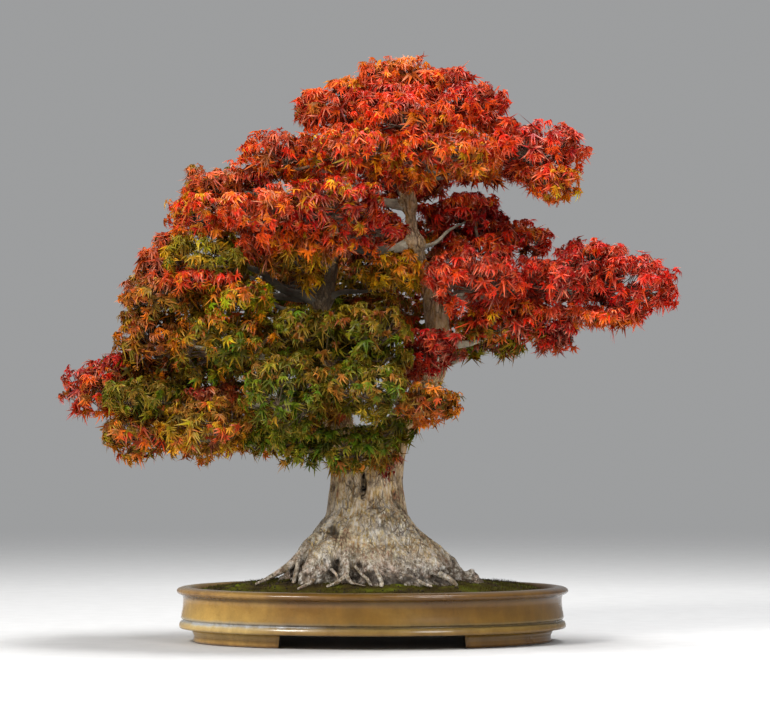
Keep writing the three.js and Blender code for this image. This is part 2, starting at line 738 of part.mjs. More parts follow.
// Places for leaves on one clump, the most exposed first. A leaf points outward and lies over the slope
// under it.
function leafSeats(clump, random) {
  const middle = new THREE.Vector3(clump[0], clump[1], clump[2]);
  const half = coreHalfSizes(clump);
  const outward = new THREE.Vector3(middle.x * 0.8, middle.y, 0).normalize();
  return seatDirections(random)
    .map((direction) => {
      const normal = direction.clone().divide(half).normalize();
      const heading = Math.atan2(direction.y, direction.x) + (random() - 0.5) * HEADING_SPREAD;
      const droop = STEEPEST_DROOP * (1 - direction.z) ** 0.8 + 0.1 + 0.15 * random();
      const along = new THREE.Vector3(
        Math.cos(heading) * Math.cos(droop),
        Math.sin(heading) * Math.cos(droop),
        -Math.sin(droop),
      );
      const foot = direction.clone().multiply(half).add(middle).addScaledVector(normal, -STALK_SINK);
      const up = normal.clone().add(new THREE.Vector3(0, 0, 0.7)).normalize();
      const worth = 0.8 * normal.dot(outward) + 0.8 * normal.z - 0.5 * normal.y + 0.3 * random();
      return { foot, along, up, size: LOBE_LENGTH * (0.92 + 0.16 * random()), worth };
    })
    .sort((one, other) => other.worth - one.worth);
}

const boxesMeet = (one, other) =>
  [0, 1, 2].every((i) => one.min[i] <= other.max[i] && one.max[i] >= other.min[i]);

function crosses(solid, others) {
  const box = solid.boundingBox();
  return others.some(
    (other) => boxesMeet(box, other.boundingBox()) && solid.intersect(other).volume() > 0,
  );
}

// The twigs that join the clumps of one pad
function makeTwigs({ clumps }) {
  return clumps.slice(1).map((clump, i) => {
    const ends = [clumps[i], clump].map(([x, y, z]) => [x, y, z, TWIG_RADIUS]);
    return makeLimb(ends, 5, 1);
  });
}

// The core of each pad, cut clear of the cores before it
function makeCores() {
  return PADS.map((pad, index) => {
    const core = joined([...pad.clumps.map((clump) => makeCore(clump)), ...makeTwigs(pad)]);
    const room = PADS.slice(0, index)
      .flatMap((other) => other.clumps)
      .map((clump) => makeCore(clump, CLEAR))
      .filter((solid) => crosses(solid, [core]));
    return room.length ? largestBody(core.subtract(joined(room))) : core;
  });
}

// The leaves of one pad that cross no wood, no other pad and no other leaf
function makeLeaves(pad, obstacles, random) {
  const leaves = [];
  for (const clump of pad.clumps) {
    const siblings = pad.clumps.filter((other) => other !== clump);
    const area = clump[1] > 0 ? AREA_PER_BACK_LEAF : AREA_PER_LEAF;
    const wanted = Math.max(FEWEST_LEAVES, Math.round((clump[3] * clump[4]) / area));
    const feet = [];
    for (const seat of leafSeats(clump, random)) {
      if (feet.length === wanted) break;
      if (siblings.some((other) => insideCore(seat.foot, other))) continue;
      if (feet.some((foot) => foot.distanceTo(seat.foot) < LEAF_SPREAD * seat.size)) continue;
      if (crosses(makeLeaf(seat, LEAF_CLEAR), [...obstacles, ...leaves])) continue;
      leaves.push(makeLeaf(seat));
      feet.push(seat.foot);
    }
  }
  return leaves;
}

// All the foliage, one solid for each pad
function makeFoliage(woodRoom) {
  const random = seededRandom(FOLIAGE_SEED);
  const cores = makeCores();
  const finished = [];
  PADS.forEach((pad, index) => {
    const obstacles = [woodRoom, ...finished, ...cores.slice(index + 1)];
    const leaves = makeLeaves(pad, obstacles, random);
    finished.push(largestBody(joined([cores[index], ...leaves]).subtract(woodRoom)));
  });
  return finished;
}

function addPiece(group, name, solid, color, roughness, metalness = 0) {
  const material = new THREE.MeshStandardMaterial({ color, roughness, metalness });
  const mesh = new THREE.Mesh(geometryOf(solid), material);
  mesh.name = name;
  group.add(mesh);
  return mesh;
}

// The space that the soil and the foliage leave for the wood
const woodRoom = makeWood(CLEAR);

const pot = new THREE.Group();
addPiece(pot, "pot", makePot(), 0x9a7b3c, 0.25);
addPiece(pot, "drain_screen_left", makeScreen(), 0x20221f, 0.6).position.copy(screenSpot(-1));
addPiece(pot, "drain_screen_right", makeScreen(), 0x20221f, 0.6).position.copy(screenSpot(1));
addPiece(pot, "anchor_wire_left", makeWire(-1), 0x9b9da0, 0.35, 1);
addPiece(pot, "anchor_wire_right", makeWire(1), 0x9b9da0, 0.35, 1);
addPiece(pot, "soil", makeSoil(woodRoom), 0x4a3524, 0.95);
addPiece(pot, "moss", makeMoss(), 0x46571d, 0.9);

const tree = new THREE.Group();
addPiece(tree, "wood", makeWood(), 0xb5a78c, 0.75);
makeFoliage(woodRoom).forEach((solid, i) => {
  addPiece(tree, `pad_${PADS[i].name}`, solid, COLOURS[PADS[i].colour], 0.55);
});

const bonsai = new THREE.Group();
bonsai.add(pot, tree);

export default bonsai;
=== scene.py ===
import itertools
import json
import math
import zlib

import bmesh
import bpy
import numpy as np
import openvdb
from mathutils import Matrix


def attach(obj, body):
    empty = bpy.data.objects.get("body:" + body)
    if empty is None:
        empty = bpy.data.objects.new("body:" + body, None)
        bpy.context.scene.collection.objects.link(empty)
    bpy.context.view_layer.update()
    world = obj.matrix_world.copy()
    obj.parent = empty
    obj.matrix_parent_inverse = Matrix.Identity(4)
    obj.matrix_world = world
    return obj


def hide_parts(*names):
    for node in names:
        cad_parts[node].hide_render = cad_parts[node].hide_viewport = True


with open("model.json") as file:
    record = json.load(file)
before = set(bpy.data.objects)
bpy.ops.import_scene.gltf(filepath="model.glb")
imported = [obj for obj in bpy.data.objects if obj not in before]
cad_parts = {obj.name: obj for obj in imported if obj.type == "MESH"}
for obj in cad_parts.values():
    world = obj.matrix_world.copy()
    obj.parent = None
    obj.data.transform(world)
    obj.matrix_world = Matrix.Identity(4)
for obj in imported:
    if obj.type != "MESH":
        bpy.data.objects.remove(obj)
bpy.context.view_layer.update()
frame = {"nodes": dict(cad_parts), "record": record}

MM = 0.001
SEED = 11

# Camera: level, in front of the tree, as wide as the photograph at the trunk's plane
CAMERA_SPOT = (16, -5400, 362)
CAMERA_FIELD_WIDTH = 983
SENSOR_WIDTH = 36

# Pot: half sizes of the rim's oval and the profile's heights. Every oval round the pot is narrower than
# it is long by the same amount on each side.
POT_HALF_LENGTH = 250
POT_HALF_WIDTH = 180
NARROWING = POT_HALF_LENGTH - POT_HALF_WIDTH
RIM_TOP = 70.3
POT_SEGMENTS = 150
FOOT_HEIGHT = 17
FLOOR_TOP = 25
FOOT_OUTER = 232
FOOT_INNER = 208
FOOT_FROM_DEG = 11
FOOT_TO_DEG = 60
EDGE_RADIUS = 1.6
DRAIN_X = 105
DRAIN_RADIUS = 13
WIRE_X = 72
WIRE_HALF_SPAN = 34
WIRE_HOLE_RADIUS = 4
# The pot's wall and one foot, cut through: the radius along the pot's length and the height
POT_PROFILE = [
    (FOOT_INNER, FOOT_HEIGHT), (238, FOOT_HEIGHT), (245.6, 17.4), (247.2, 19.4), (246.6, 22.8),
    (245.2, 25.6), (243, 26.6), (242.2, 27.6), (242.6, 28.8), (244.6, 30), (244, 34), (242.8, 40),
    (242, 46), (241.6, 52), (241.8, 57), (243, 59.8), (247, 61), (249.4, 62.6), (250, 64.8),
    (248.8, 67.4), (244.4, 69.4), (239, RIM_TOP), (234.6, RIM_TOP - 0.2), (232.4, RIM_TOP - 2),
    (231.4, 61), (222, FLOOR_TOP),
]
FOOT_SECTION = [
    (FOOT_INNER + 2, FOOT_HEIGHT + 0.5), (FOOT_INNER + 2, 3), (FOOT_INNER + 4, 0),
    (FOOT_OUTER - 3, 0), (FOOT_OUTER, 3), (FOOT_OUTER - 1.5, 9), (FOOT_OUTER + 2, FOOT_HEIGHT + 0.5),
]

# Soil and moss
SOIL_EDGE_HEIGHT = 57
SOIL_DOME = 9
MOSS_EDGE = 229
MOSS_HALF_WIDTH = MOSS_EDGE - NARROWING
MOSS_BLADES = 19000
MOSS_BLADE_HALF_WIDTH = 0.45
SOIL_GRAINS = 1500

# The block of space in which the trunk is made, in steps as fine as its surface. Above the block the right
# stem is a tube.
TRUNK_LOW = (-162, -118, 52)
TRUNK_HIGH = (156, 122, 612)
TRUNK_STEP = 2.72
HIGHEST_TRUNK_BRANCH = 600
ROOT_FILLET = 9
STEM_FILLET = 12
BRANCH_FILLET = 6
HOLLOW_EDGE = 3
STEM_TUBE_FROM = 545

# The crown's shade on the wood begins at a height. The right stem stands in the open, right of one x and
# below one z. The left stem passes a dark cavity between two heights and left of one x. Each pair of
# numbers is where such a limit begins and ends to fade.
CROWN_BOTTOM = 225
OPEN_SIDE_X, OPEN_SIDE_TOP = (46, 66), (450, 490)
CAVITY_BOTTOM, CAVITY_TOP, CAVITY_X = (385, 415), (500, 535), (-5, 25)

# Trunk sections: height, middle x, half width in x, half width in y
TRUNK_SECTIONS = [
    (46, 4, 112, 92),
    (78, 3, 106, 88),
    (92, 1, 101, 83),
    (108, -1, 91, 75),
    (124, -5.5, 78.5, 66),
    (141, -8.5, 64.5, 56),
    (160, -6.5, 51, 47),
    (190, -7, 46, 41),
    (226, -5, 38, 33),
    (246, -4, 24, 22),
]

# Limbs are points x, y, z and the radius there
ROOTS = [
    [
        (24, -14, 172, 9), (36, -14, 152, 11), (48, -14, 136, 12), (78, -14, 114, 12), (97, -14, 98, 11),
        (113, -15, 82, 8.5), (126, -16, 82, 9), (138, -16, 68, 6),
    ],
    [(28, -30, 160, 12), (54, -46, 124, 12), (76, -58, 98, 12), (92, -66, 80, 11), (104, -74, 58, 7)],
    [(12, -38, 160, 12), (26, -56, 120, 12), (40, -72, 94, 12), (50, -82, 78, 11), (58, -92, 56, 7)],
    [(-6, -38, 160, 12), (-6, -58, 118, 12), (0, -76, 92, 12), (4, -88, 76, 10), (6, -96, 56, 7)],
    [(-27, -48, 132, 7), (-31, -66, 112, 6.5), (-33, -78, 98, 6), (-33, -86, 82, 5), (-34, -92, 66, 4)],
    [(-26, -34, 150, 12), (-46, -50, 120, 17), (-64, -64, 100, 20), (-74, -74, 82, 18), (-80, -80, 60, 12)],
    [
        (-36, -16, 166, 8), (-56, -26, 145, 10), (-78, -36, 122, 11), (-94, -42, 98, 8.5),
        (-106, -48, 78, 6), (-114, -52, 58, 4),
    ],
    [(-48, 0, 146, 10), (-78, -2, 112, 9), (-104, -4, 87, 6.5), (-122, -8, 68, 4)],
    [(-36, 24, 156, 13), (-66, 38, 112, 13), (-98, 54, 84, 11), (-118, 66, 58, 6)],
    [(-18, 34, 158, 14), (-36, 58, 112, 14), (-50, 84, 84, 12), (-58, 104, 58, 6)],
    [(6, 34, 158, 14), (12, 60, 112, 14), (16, 88, 84, 13), (20, 108, 58, 6)],
    [(30, 26, 158, 14), (62, 48, 112, 14), (90, 64, 84, 12), (108, 78, 58, 6)],
]
# Thin roots that run free of the others
THIN_ROOTS = [
    [
        (-31, -78, 122, 3), (-33, -89, 108, 4.2), (-32, -95, 97, 4), (-34, -100, 88, 3.4),
        (-43, -106, 81, 2.6), (-56, -111, 76, 1.6),
    ],
    [(-33, -99, 91, 3), (-29, -105, 83, 2.5), (-23, -110, 79, 1.6)],
    [
        (-80, -44, 126, 4.6), (-92, -50, 113, 5.2), (-105, -54, 99, 4.6), (-119, -56, 90, 3.6),
        (-133, -57, 82.5, 2.6), (-147, -58, 76, 1.6),
    ],
    [(-92, -54, 112, 3), (-95, -60, 98, 3.2), (-98, -65, 82, 2.8), (-101, -68, 72, 2)],
    [(-24, -108, 80, 1.3), (-16, -113, 78, 1.0), (-8, -117, 77, 0.7)],
    [(-22, -84, 100, 2.2), (-15, -92, 92, 2), (-5, -96, 82, 2.2), (0, -98, 74, 1.8)],
    [(-52, -84, 96, 2.2), (-45, -90, 88, 1.8), (-42, -96, 78, 1.6)],
    [(2, -84, 98, 3), (8, -92, 88, 3.4), (12, -98, 78, 3), (10, -104, 70, 2)],
    [(52, -78, 86, 3), (62, -88, 79, 2.6), (74, -96, 75, 1.8)],
    [(84, -72, 90, 4), (97, -76, 83, 3.8), (106, -80, 75, 2.4)],
    [(-72, -88, 84, 3), (-82, -98, 77, 2.4), (-92, -104, 73, 1.6)],
]
RIGHT_STEM = [
    (6, 0, 176, 20),
    (10, 2, 200, 20),
    (20, 4, 236, 22),
    (28, 6, 262, 20.5),
    (43, 10, 285, 19),
    (60, 13, 311, 17.5),
    (78, 8, 345, 15.5),
    (84, 0, 380, 15),
    (81, -4, 420, 16),
    (72, 0, 457, 12),
    (56, 6, 496, 9),
    (48, -2, 545, 7.2),
    (43, -2, 590, 5.8),
    (36, 2, 640, 4.6),
    (29, 0, 704, 2.6),
]
LEFT_STEM = [
    (-21, 0, 176, 24),
    (-26, 0, 205, 25),
    (-32, 2, 236, 22),
    (-42, 4, 272, 18.5),
    (-56, 4, 325, 16),
    (-64, 0, 377, 14),
    (-66, -4, 415, 11.5),
    (-56, 2, 452, 8.2),
    (-48, 4, 506, 5.8),
    (-55, 0, 552, 4.2),
]

# Hollows between the roots, creases and the cleft under the fork, which are carved out and darkened with
# painted shade
HOLLOWS = [
    [(-11, -36, 214, 2.6), (-11, -38, 203, 3.2), (-11.5, -40, 192, 3), (-12.5, -44, 180, 1.8)],
    [(-11, -30, 214, 2.6), (-11, -32, 203, 3.2), (-11.5, -34, 192, 3), (-12.5, -38, 184, 1.8)],
    [(-11, -24, 212, 2.6), (-11, -26, 203, 3), (-11.5, -28, 194, 2.4)],
    [(-55, -32, 166, 2.5), (-52, -42, 155, 5.5), (-51, -48, 145, 7), (-46, -54, 135, 3)],
    [(-69, -30, 158, 2), (-68, -39, 147, 3.4), (-67, -46, 135, 2.4)],
    [(-96, -44, 95, 4), (-103, -48, 85, 7), (-108, -52, 72, 7)],
    [(-44, -70, 106, 3), (-47, -79, 95, 6), (-44, -88, 84, 5.5), (-46, -94, 70, 7)],
    [(-19, -74, 102, 3), (-15, -84, 90, 6.5), (-8, -88, 84, 5.5), (-11, -94, 68, 8)],
    [(8, -84, 88, 2), (20, -88, 84, 3.4), (30, -90, 79, 2.6)],
    [(44, -82, 92, 1.6), (52, -82, 84, 3.4), (60, -80, 74, 4)],
    [(78, -78, 88, 2.4), (89, -71, 89, 3.6), (101, -60, 87, 3.6), (110, -46, 84, 2.4)],
    [(28, -86, 94, 2), (31, -90, 82, 4), (33, -94, 70, 5)],
    [(64, -72, 90, 2), (67, -78, 79, 3.4), (68, -82, 68, 4)],
]
# Where the foot of the trunk gets painted shade between its roots: x, y, z and three half sizes
PAINTED_SHADE_PATCHES = [
    (20, -96, 83, 48, 34, 12),
    (-30, -92, 84, 16, 24, 9),
    (92, -72, 80, 26, 26, 7),
]

# Colours, as seen in soft daylight
COLOURS = {
    "scarlet": "#d6240e",
    "flame": "#e24c0a",
    "crimson": "#a80c12",
    "orange": "#e2730c",
    "coral": "#e04e26",
    "peach": "#ffc0a0",
    "gold": "#d99f16",
    "straw": "#cdba64",
    "tan": "#d08a3c",
    "olive": "#7e6b14",
    "green": "#586e12",
    "lime": "#8f9c12",
    "bronze": "#9c6628",
    "rust": "#a5441c",
}

# Foliage pads. A clump is an ellipsoid: x, y, z of its middle and its three half sizes. A branch leaves a
# stem at a height, with its radius there, and runs through points to its end in the pad. Looks are, for
# each clump, the leaf colours at its crown, middle and fringe, and that of scattered leaves.
PADS = {
    "pad_apex_top": {
        "looks": ["orange flame flame coral", "scarlet flame scarlet orange"],
        "clumps": [(31, 0, 721, 55, 58, 30), (42, -84, 666, 78, 50, 32)],
        "branch": (RIGHT_STEM, 640, 4, [(36, -30, 650)], (42, -70, 660)),
    },
    "pad_apex_right": {
        "looks": ["crimson scarlet flame coral"],
        "clumps": [(116, -4, 690, 62, 66, 32)],
        "branch": (RIGHT_STEM, 650, 4, [(70, 0, 668)], (108, -2, 690)),
    },
    "pad_apex_left": {
        "looks": ["coral scarlet flame bronze"],
        "clumps": [(-53, 2, 681, 52, 62, 28)],
        "branch": (RIGHT_STEM, 638, 4, [(0, 2, 655)], (-44, 2, 678)),
    },
    "pad_apex_back": {
        "looks": ["scarlet flame orange crimson"],
        "clumps": [(46, 86, 668, 80, 56, 34)],
        "branch": (RIGHT_STEM, 622, 4, [(42, 40, 640)], (46, 76, 660)),
    },
    "pad_upper_left": {
        "looks": ["rust scarlet orange coral", "flame scarlet orange gold"],
        "clumps": [(-110, -20, 625, 63, 60, 30), (-24, -116, 626, 66, 54, 33)],
        "branch": (RIGHT_STEM, 556, 6.5, [(12, -8, 561), (-35, -24, 583)], (-92, -44, 612)),
    },
    "pad_upper_front": {
        "looks": ["flame scarlet orange gold"],
        "clumps": [(92, -108, 622, 72, 58, 34)],
        "branch": (RIGHT_STEM, 576, 5, [(62, -50, 588)], (86, -96, 612)),
    },
    "pad_upper_right": {
        "looks": ["crimson scarlet flame coral", "flame scarlet orange gold"],
        "clumps": [(211, -18, 633, 72, 70, 37), (224, -48, 592, 43, 52, 25)],
        "branch": (RIGHT_STEM, 590, 4.5, [(92, 2, 592), (150, 2, 606)], (198, -10, 620)),
    },
    "pad_upper_back": {
        "looks": ["scarlet flame orange crimson"],
        "clumps": [(-62, 110, 624, 80, 60, 33), (58, 146, 612, 74, 56, 33)],
        "branch": (RIGHT_STEM, 566, 5.5, [(30, 55, 580)], (0, 126, 615)),
    },
    "pad_upper_back_right": {
        "looks": ["scarlet crimson flame orange"],
        "clumps": [(168, 98, 620, 70, 58, 32)],
        "branch": (RIGHT_STEM, 600, 4.5, [(92, 42, 600)], (152, 88, 612)),
    },
    "pad_third_left": {
        "looks": ["rust coral orange olive", "coral scarlet orange gold"],
        "clumps": [(-200, -8, 586, 53, 60, 26), (-207, -74, 548, 53, 55, 31)],
        "branch": (LEFT_STEM, 545, 4.5, [(-100, -4, 566), (-150, -14, 572)], (-200, -30, 574)),
    },
    "pad_third_front": {
        "looks": [
            "coral scarlet flame orange",
            "scarlet crimson flame gold",
            "scarlet crimson scarlet orange",
        ],
        "clumps": [(-138, -130, 545, 60, 55, 37), (-48, -140, 556, 68, 55, 37), (14, -84, 530, 34, 32, 22)],
        "branch": (RIGHT_STEM, 508, 8, [(22, -24, 500), (-14, -52, 498)], (-44, -112, 534)),
    },
    "pad_third_gold": {
        "looks": ["orange gold olive rust"],
        "clumps": [(-98, -84, 498, 58, 44, 25)],
        "branch": (LEFT_STEM, 470, 4, [(-66, -35, 480)], (-88, -70, 492)),
    },
    "pad_third_back": {
        "looks": ["scarlet flame orange gold"],
        "clumps": [(-170, 108, 561, 84, 60, 35), (-62, 160, 550, 80, 60, 35)],
        "branch": (LEFT_STEM, 520, 5, [(-70, 60, 532)], (-110, 134, 553)),
    },
    "pad_fourth_olive": {
        "looks": ["olive olive green gold"],
        "clumps": [(-204, -92, 492, 62, 58, 34)],
        "branch": (
            LEFT_STEM, 416, 7.5, [(-86, -12, 440), (-114, -24, 447), (-141, -44, 470)], (-188, -80, 484),
        ),
    },
    "pad_fourth_edge": {
        "looks": ["coral rust olive orange", "rust bronze olive orange"],
        "clumps": [(-266, -10, 484, 40, 55, 32), (-264, -58, 444, 62, 58, 28)],
        "branch": (LEFT_STEM, 436, 6, [(-130, 4, 440), (-200, -10, 452)], (-262, -30, 462)),
    },
    "pad_fourth_inner": {
        "looks": ["orange lime lime coral"],
        "clumps": [(-166, -118, 441, 46, 44, 27)],
        "branch": (LEFT_STEM, 405, 5, [(-100, -50, 420)], (-150, -102, 436)),
    },
    "pad_fourth_back": {
        "looks": ["olive bronze green rust"],
        "clumps": [(-236, 98, 466, 84, 60, 35), (-112, 170, 472, 75, 56, 35)],
        "branch": (LEFT_STEM, 446, 5.5, [(-104, 66, 452)], (-164, 137, 468)),
    },
    "pad_fifth_left": {
        "looks": ["rust bronze olive orange", "orange olive green olive"],
        "clumps": [(-272, -48, 382, 58, 64, 40), (-190, -132, 382, 68, 60, 42)],
        "branch": (LEFT_STEM, 350, 7, [(-118, -36, 360), (-180, -70, 368)], (-228, -90, 376)),
    },
    "pad_fifth_mid": {
        "looks": ["olive bronze olive green", "olive olive green rust"],
        "clumps": [(-90, -108, 398, 66, 50, 30), (-4, -118, 403, 58, 50, 34)],
        "branch": (LEFT_STEM, 374, 5.5, [(-60, -54, 384)], (-48, -106, 396)),
    },
    "pad_fifth_back": {
        "looks": ["bronze olive green straw"],
        "clumps": [(-202, 118, 386, 80, 60, 36), (-62, 172, 388, 84, 60, 36)],
        "branch": (LEFT_STEM, 342, 6, [(-86, 74, 358)], (-132, 144, 378)),
    },
    "pad_sixth_tip": {
        "looks": ["crimson scarlet orange bronze"],
        "clumps": [(-346, -28, 327, 49, 58, 36)],
        "branch": (LEFT_STEM, 305, 6.5, [(-130, -2, 308), (-230, -14, 314)], (-330, -26, 328)),
    },
    "pad_sixth_left": {
        "looks": ["olive green olive bronze"],
        "clumps": [(-282, -108, 318, 60, 55, 28)],
        "branch": (LEFT_STEM, 292, 5.5, [(-110, -44, 298), (-190, -84, 304)], (-268, -106, 312)),
    },
    "pad_sixth_hump": {
        "looks": ["bronze green green olive"],
        "clumps": [(-108, -186, 322, 58, 57, 52)],
        "branch": (LEFT_STEM, 312, 6, [(-68, -70, 312)], (-102, -168, 320)),
    },
    "pad_sixth_mid": {
        "looks": ["olive green olive bronze", "olive bronze rust orange"],
        "clumps": [(-12, -168, 330, 62, 54, 37), (69, -124, 310, 44, 44, 25)],
        "branch": (RIGHT_STEM, 292, 5.5, [(58, -56, 296)], (56, -118, 308)),
    },
    "pad_sixth_back": {
        "looks": ["olive bronze green coral"],
        "clumps": [(-298, 88, 322, 72, 60, 32)],
        "branch": (LEFT_STEM, 284, 5.5, [(-110, 44, 294), (-200, 74, 306)], (-284, 86, 316)),
    },
    "pad_bottom_left": {
        "looks": ["bronze olive coral orange", "bronze gold coral olive"],
        "clumps": [(-286, -88, 271, 61, 58, 34), (-204, -148, 282, 64, 58, 36)],
        "branch": (LEFT_STEM, 256, 7, [(-96, -44, 256), (-170, -90, 256)], (-240, -120, 262)),
    },
    "pad_bottom_right": {
        "looks": ["green green bronze olive"],
        "clumps": [(-116, -122, 262, 50, 50, 26), (-28, -110, 253, 64, 44, 28)],
        "branch": (LEFT_STEM, 236, 6, [(-50, -62, 242)], (-74, -112, 248)),
    },
    "pad_bottom_back": {
        "looks": ["bronze olive orange rust"],
        "clumps": [(-216, 58, 271, 86, 62, 31), (-96, 138, 272, 80, 60, 34)],
        "branch": (LEFT_STEM, 250, 6, [(-84, 56, 252)], (-148, 102, 258)),
    },
    "pad_right_inner": {
        "looks": [
            "scarlet crimson flame orange",
            "crimson crimson scarlet crimson",
            "crimson scarlet flame orange",
        ],
        "clumps": [(96, 52, 553, 46, 46, 26), (142, 58, 545, 34, 42, 27), (186, 42, 521, 48, 56, 25)],
        "branch": (RIGHT_STEM, 502, 2.8, [(80, -4, 508), (98, 4, 524)], (126, 40, 540)),
    },
    "pad_centre_gold": {
        "looks": ["orange gold olive olive"],
        "clumps": [(32, -62, 472, 44, 42, 29)],
        "branch": (LEFT_STEM, 428, 4.5, [(-41, -12, 445), (-4, -30, 448)], (26, -54, 466)),
    },
    "pad_right_tier": {
        "looks": [
            "coral scarlet flame crimson",
            "crimson scarlet flame coral",
            "crimson scarlet scarlet flame",
        ],
        "clumps": [(126, -88, 462, 66, 58, 39), (236, -32, 461, 68, 74, 42), (329, -20, 455, 66, 68, 43)],
        "branch": (RIGHT_STEM, 425, 7.5, [(122, -24, 436), (186, -28, 446)], (300, -24, 450)),
    },
    "pad_right_low": {
        "looks": ["flame crimson olive scarlet", "crimson crimson rust scarlet"],
        "clumps": [(168, -42, 408, 66, 56, 22), (231, -20, 396, 36, 46, 20)],
        "branch": (RIGHT_STEM, 376, 6, [(118, -18, 380)], (166, -36, 392)),
    },
    "pad_right_low_inner": {
        "looks": ["crimson rust crimson scarlet"],
        "clumps": [(76, -76, 378, 42, 38, 28)],
        "branch": (RIGHT_STEM, 352, 4.5, [(82, -34, 360)], (78, -68, 372)),
    },
    "pad_right_back": {
        "looks": ["scarlet flame orange crimson"],
        "clumps": [(122, 122, 458, 84, 60, 37), (236, 92, 456, 64, 52, 35)],
        "branch": (RIGHT_STEM, 434, 6, [(104, 52, 442)], (160, 106, 452)),
    },
    "pad_right_back_low": {
        "looks": ["olive green olive crimson"],
        "clumps": [(136, 66, 386, 64, 54, 21)],
        "branch": (RIGHT_STEM, 340, 5, [(96, 28, 352)], (126, 58, 368)),
    },
}

# Masses of leaves that join the tiers inside the crown, and small sprays: the pad they belong to, the clump
# and its looks
FILLS = [
    ("pad_apex_top", (30, -20, 692, 70, 60, 30), "scarlet crimson flame coral"),
    ("pad_apex_left", (-32, 0, 710, 32, 40, 15), "orange coral flame gold"),
    ("pad_apex_left", (-70, 0, 697, 25, 40, 14), "coral scarlet flame orange"),
    ("pad_apex_right", (93, -6, 720, 42, 44, 17), "coral scarlet flame orange"),
    ("pad_upper_right", (160, -10, 657, 42, 50, 22), "coral scarlet flame orange"),
    ("pad_upper_front", (118, -60, 605, 50, 36, 13), "orange flame orange gold"),
    ("pad_upper_back", (-2, 66, 592, 112, 56, 42), "scarlet crimson orange rust"),
    ("pad_third_back", (-96, 76, 508, 112, 56, 46), "rust rust olive gold"),
    ("pad_third_back", (56, 92, 500, 58, 44, 40), "crimson rust gold olive"),
    ("pad_third_gold", (-80, -56, 464, 18, 18, 11), "gold gold gold orange"),
    ("pad_fourth_edge", (-212, -112, 462, 54, 42, 16), "scarlet flame gold coral"),
    ("pad_fourth_back", (-130, 76, 428, 146, 58, 42), "olive olive green rust"),
    ("pad_fifth_back", (-150, 66, 350, 172, 64, 38), "olive olive green bronze"),
    ("pad_third_back", (-16, 62, 462, 62, 50, 42), "rust olive olive gold"),
    ("pad_fifth_mid", (-34, -108, 366, 98, 44, 26), "green olive olive bronze"),
    ("pad_sixth_left", (-196, -108, 314, 44, 46, 27), "rust bronze olive crimson"),
    ("pad_sixth_back", (-204, 40, 292, 112, 56, 30), "olive bronze green rust"),
    ("pad_bottom_back", (-108, 88, 304, 104, 56, 34), "olive green olive bronze"),
    ("pad_right_inner", (138, 6, 500, 58, 48, 28), "scarlet flame crimson orange"),
    ("pad_right_inner", (126, 44, 566, 42, 40, 15), "crimson scarlet orange flame"),
    ("pad_right_tier", (276, 6, 500, 48, 40, 18), "crimson scarlet orange coral"),
    ("pad_right_tier", (294, -46, 416, 56, 50, 14), "scarlet flame orange crimson"),
    ("pad_right_tier", (172, -62, 424, 52, 40, 14), "flame orange scarlet crimson"),
    ("pad_third_back", (4, 44, 522, 74, 42, 38), "crimson scarlet rust olive"),
    ("pad_centre_gold", (16, 16, 432, 46, 40, 26), "rust olive rust olive"),
    ("pad_sixth_mid", (42, 8, 345, 36, 36, 27), "rust crimson olive rust"),
    ("pad_fifth_left", (-244, 14, 352, 80, 56, 26), "bronze olive olive rust"),
    ("pad_fourth_edge", (-292, -16, 413, 33, 40, 14), "rust bronze olive straw"),
    ("pad_fourth_edge", (-256, -20, 511, 26, 40, 15), "coral rust olive orange"),
    ("pad_sixth_tip", (-318, -20, 358, 32, 40, 15), "crimson crimson scarlet rust"),
    ("pad_sixth_back", (-190, 60, 332, 70, 44, 30), "bronze olive green rust"),
    ("pad_sixth_mid", (-56, -44, 298, 42, 28, 25), "olive bronze rust olive"),
    ("pad_bottom_right", (30, -48, 276, 26, 24, 21), "green green olive bronze"),
    ("pad_bottom_right", (-6, -40, 268, 26, 24, 13), "green olive olive rust"),
    ("pad_apex_right", (150, -4, 686, 30, 40, 17), "crimson scarlet flame coral"),
    ("pad_right_back", (316, 24, 456, 52, 34, 29), "crimson crimson rust scarlet"),
    ("pad_right_tier", (303, -10, 499, 26, 40, 12), "coral scarlet scarlet crimson"),
    ("pad_right_inner", (106, 56, 520, 32, 28, 18), "rust crimson rust orange"),
    ("pad_upper_left", (-146, -10, 594, 36, 40, 15), "rust crimson rust olive"),
    ("pad_bottom_right", (18, -30, 227, 22, 30, 13), "crimson rust crimson orange"),
    ("pad_bottom_right", (-41, -30, 222, 20, 30, 15), "olive bronze crimson gold"),
    ("pad_upper_front", (48, -34, 588, 27, 20, 23), "rust crimson orange scarlet"),
    ("pad_third_front", (-76, -112, 507, 64, 40, 24), "flame orange orange scarlet"),
    ("pad_third_front", (-146, -96, 505, 40, 40, 20), "scarlet flame orange crimson"),
    ("pad_right_back_low", (62, 70, 408, 58, 46, 38), "rust olive green crimson"),
]

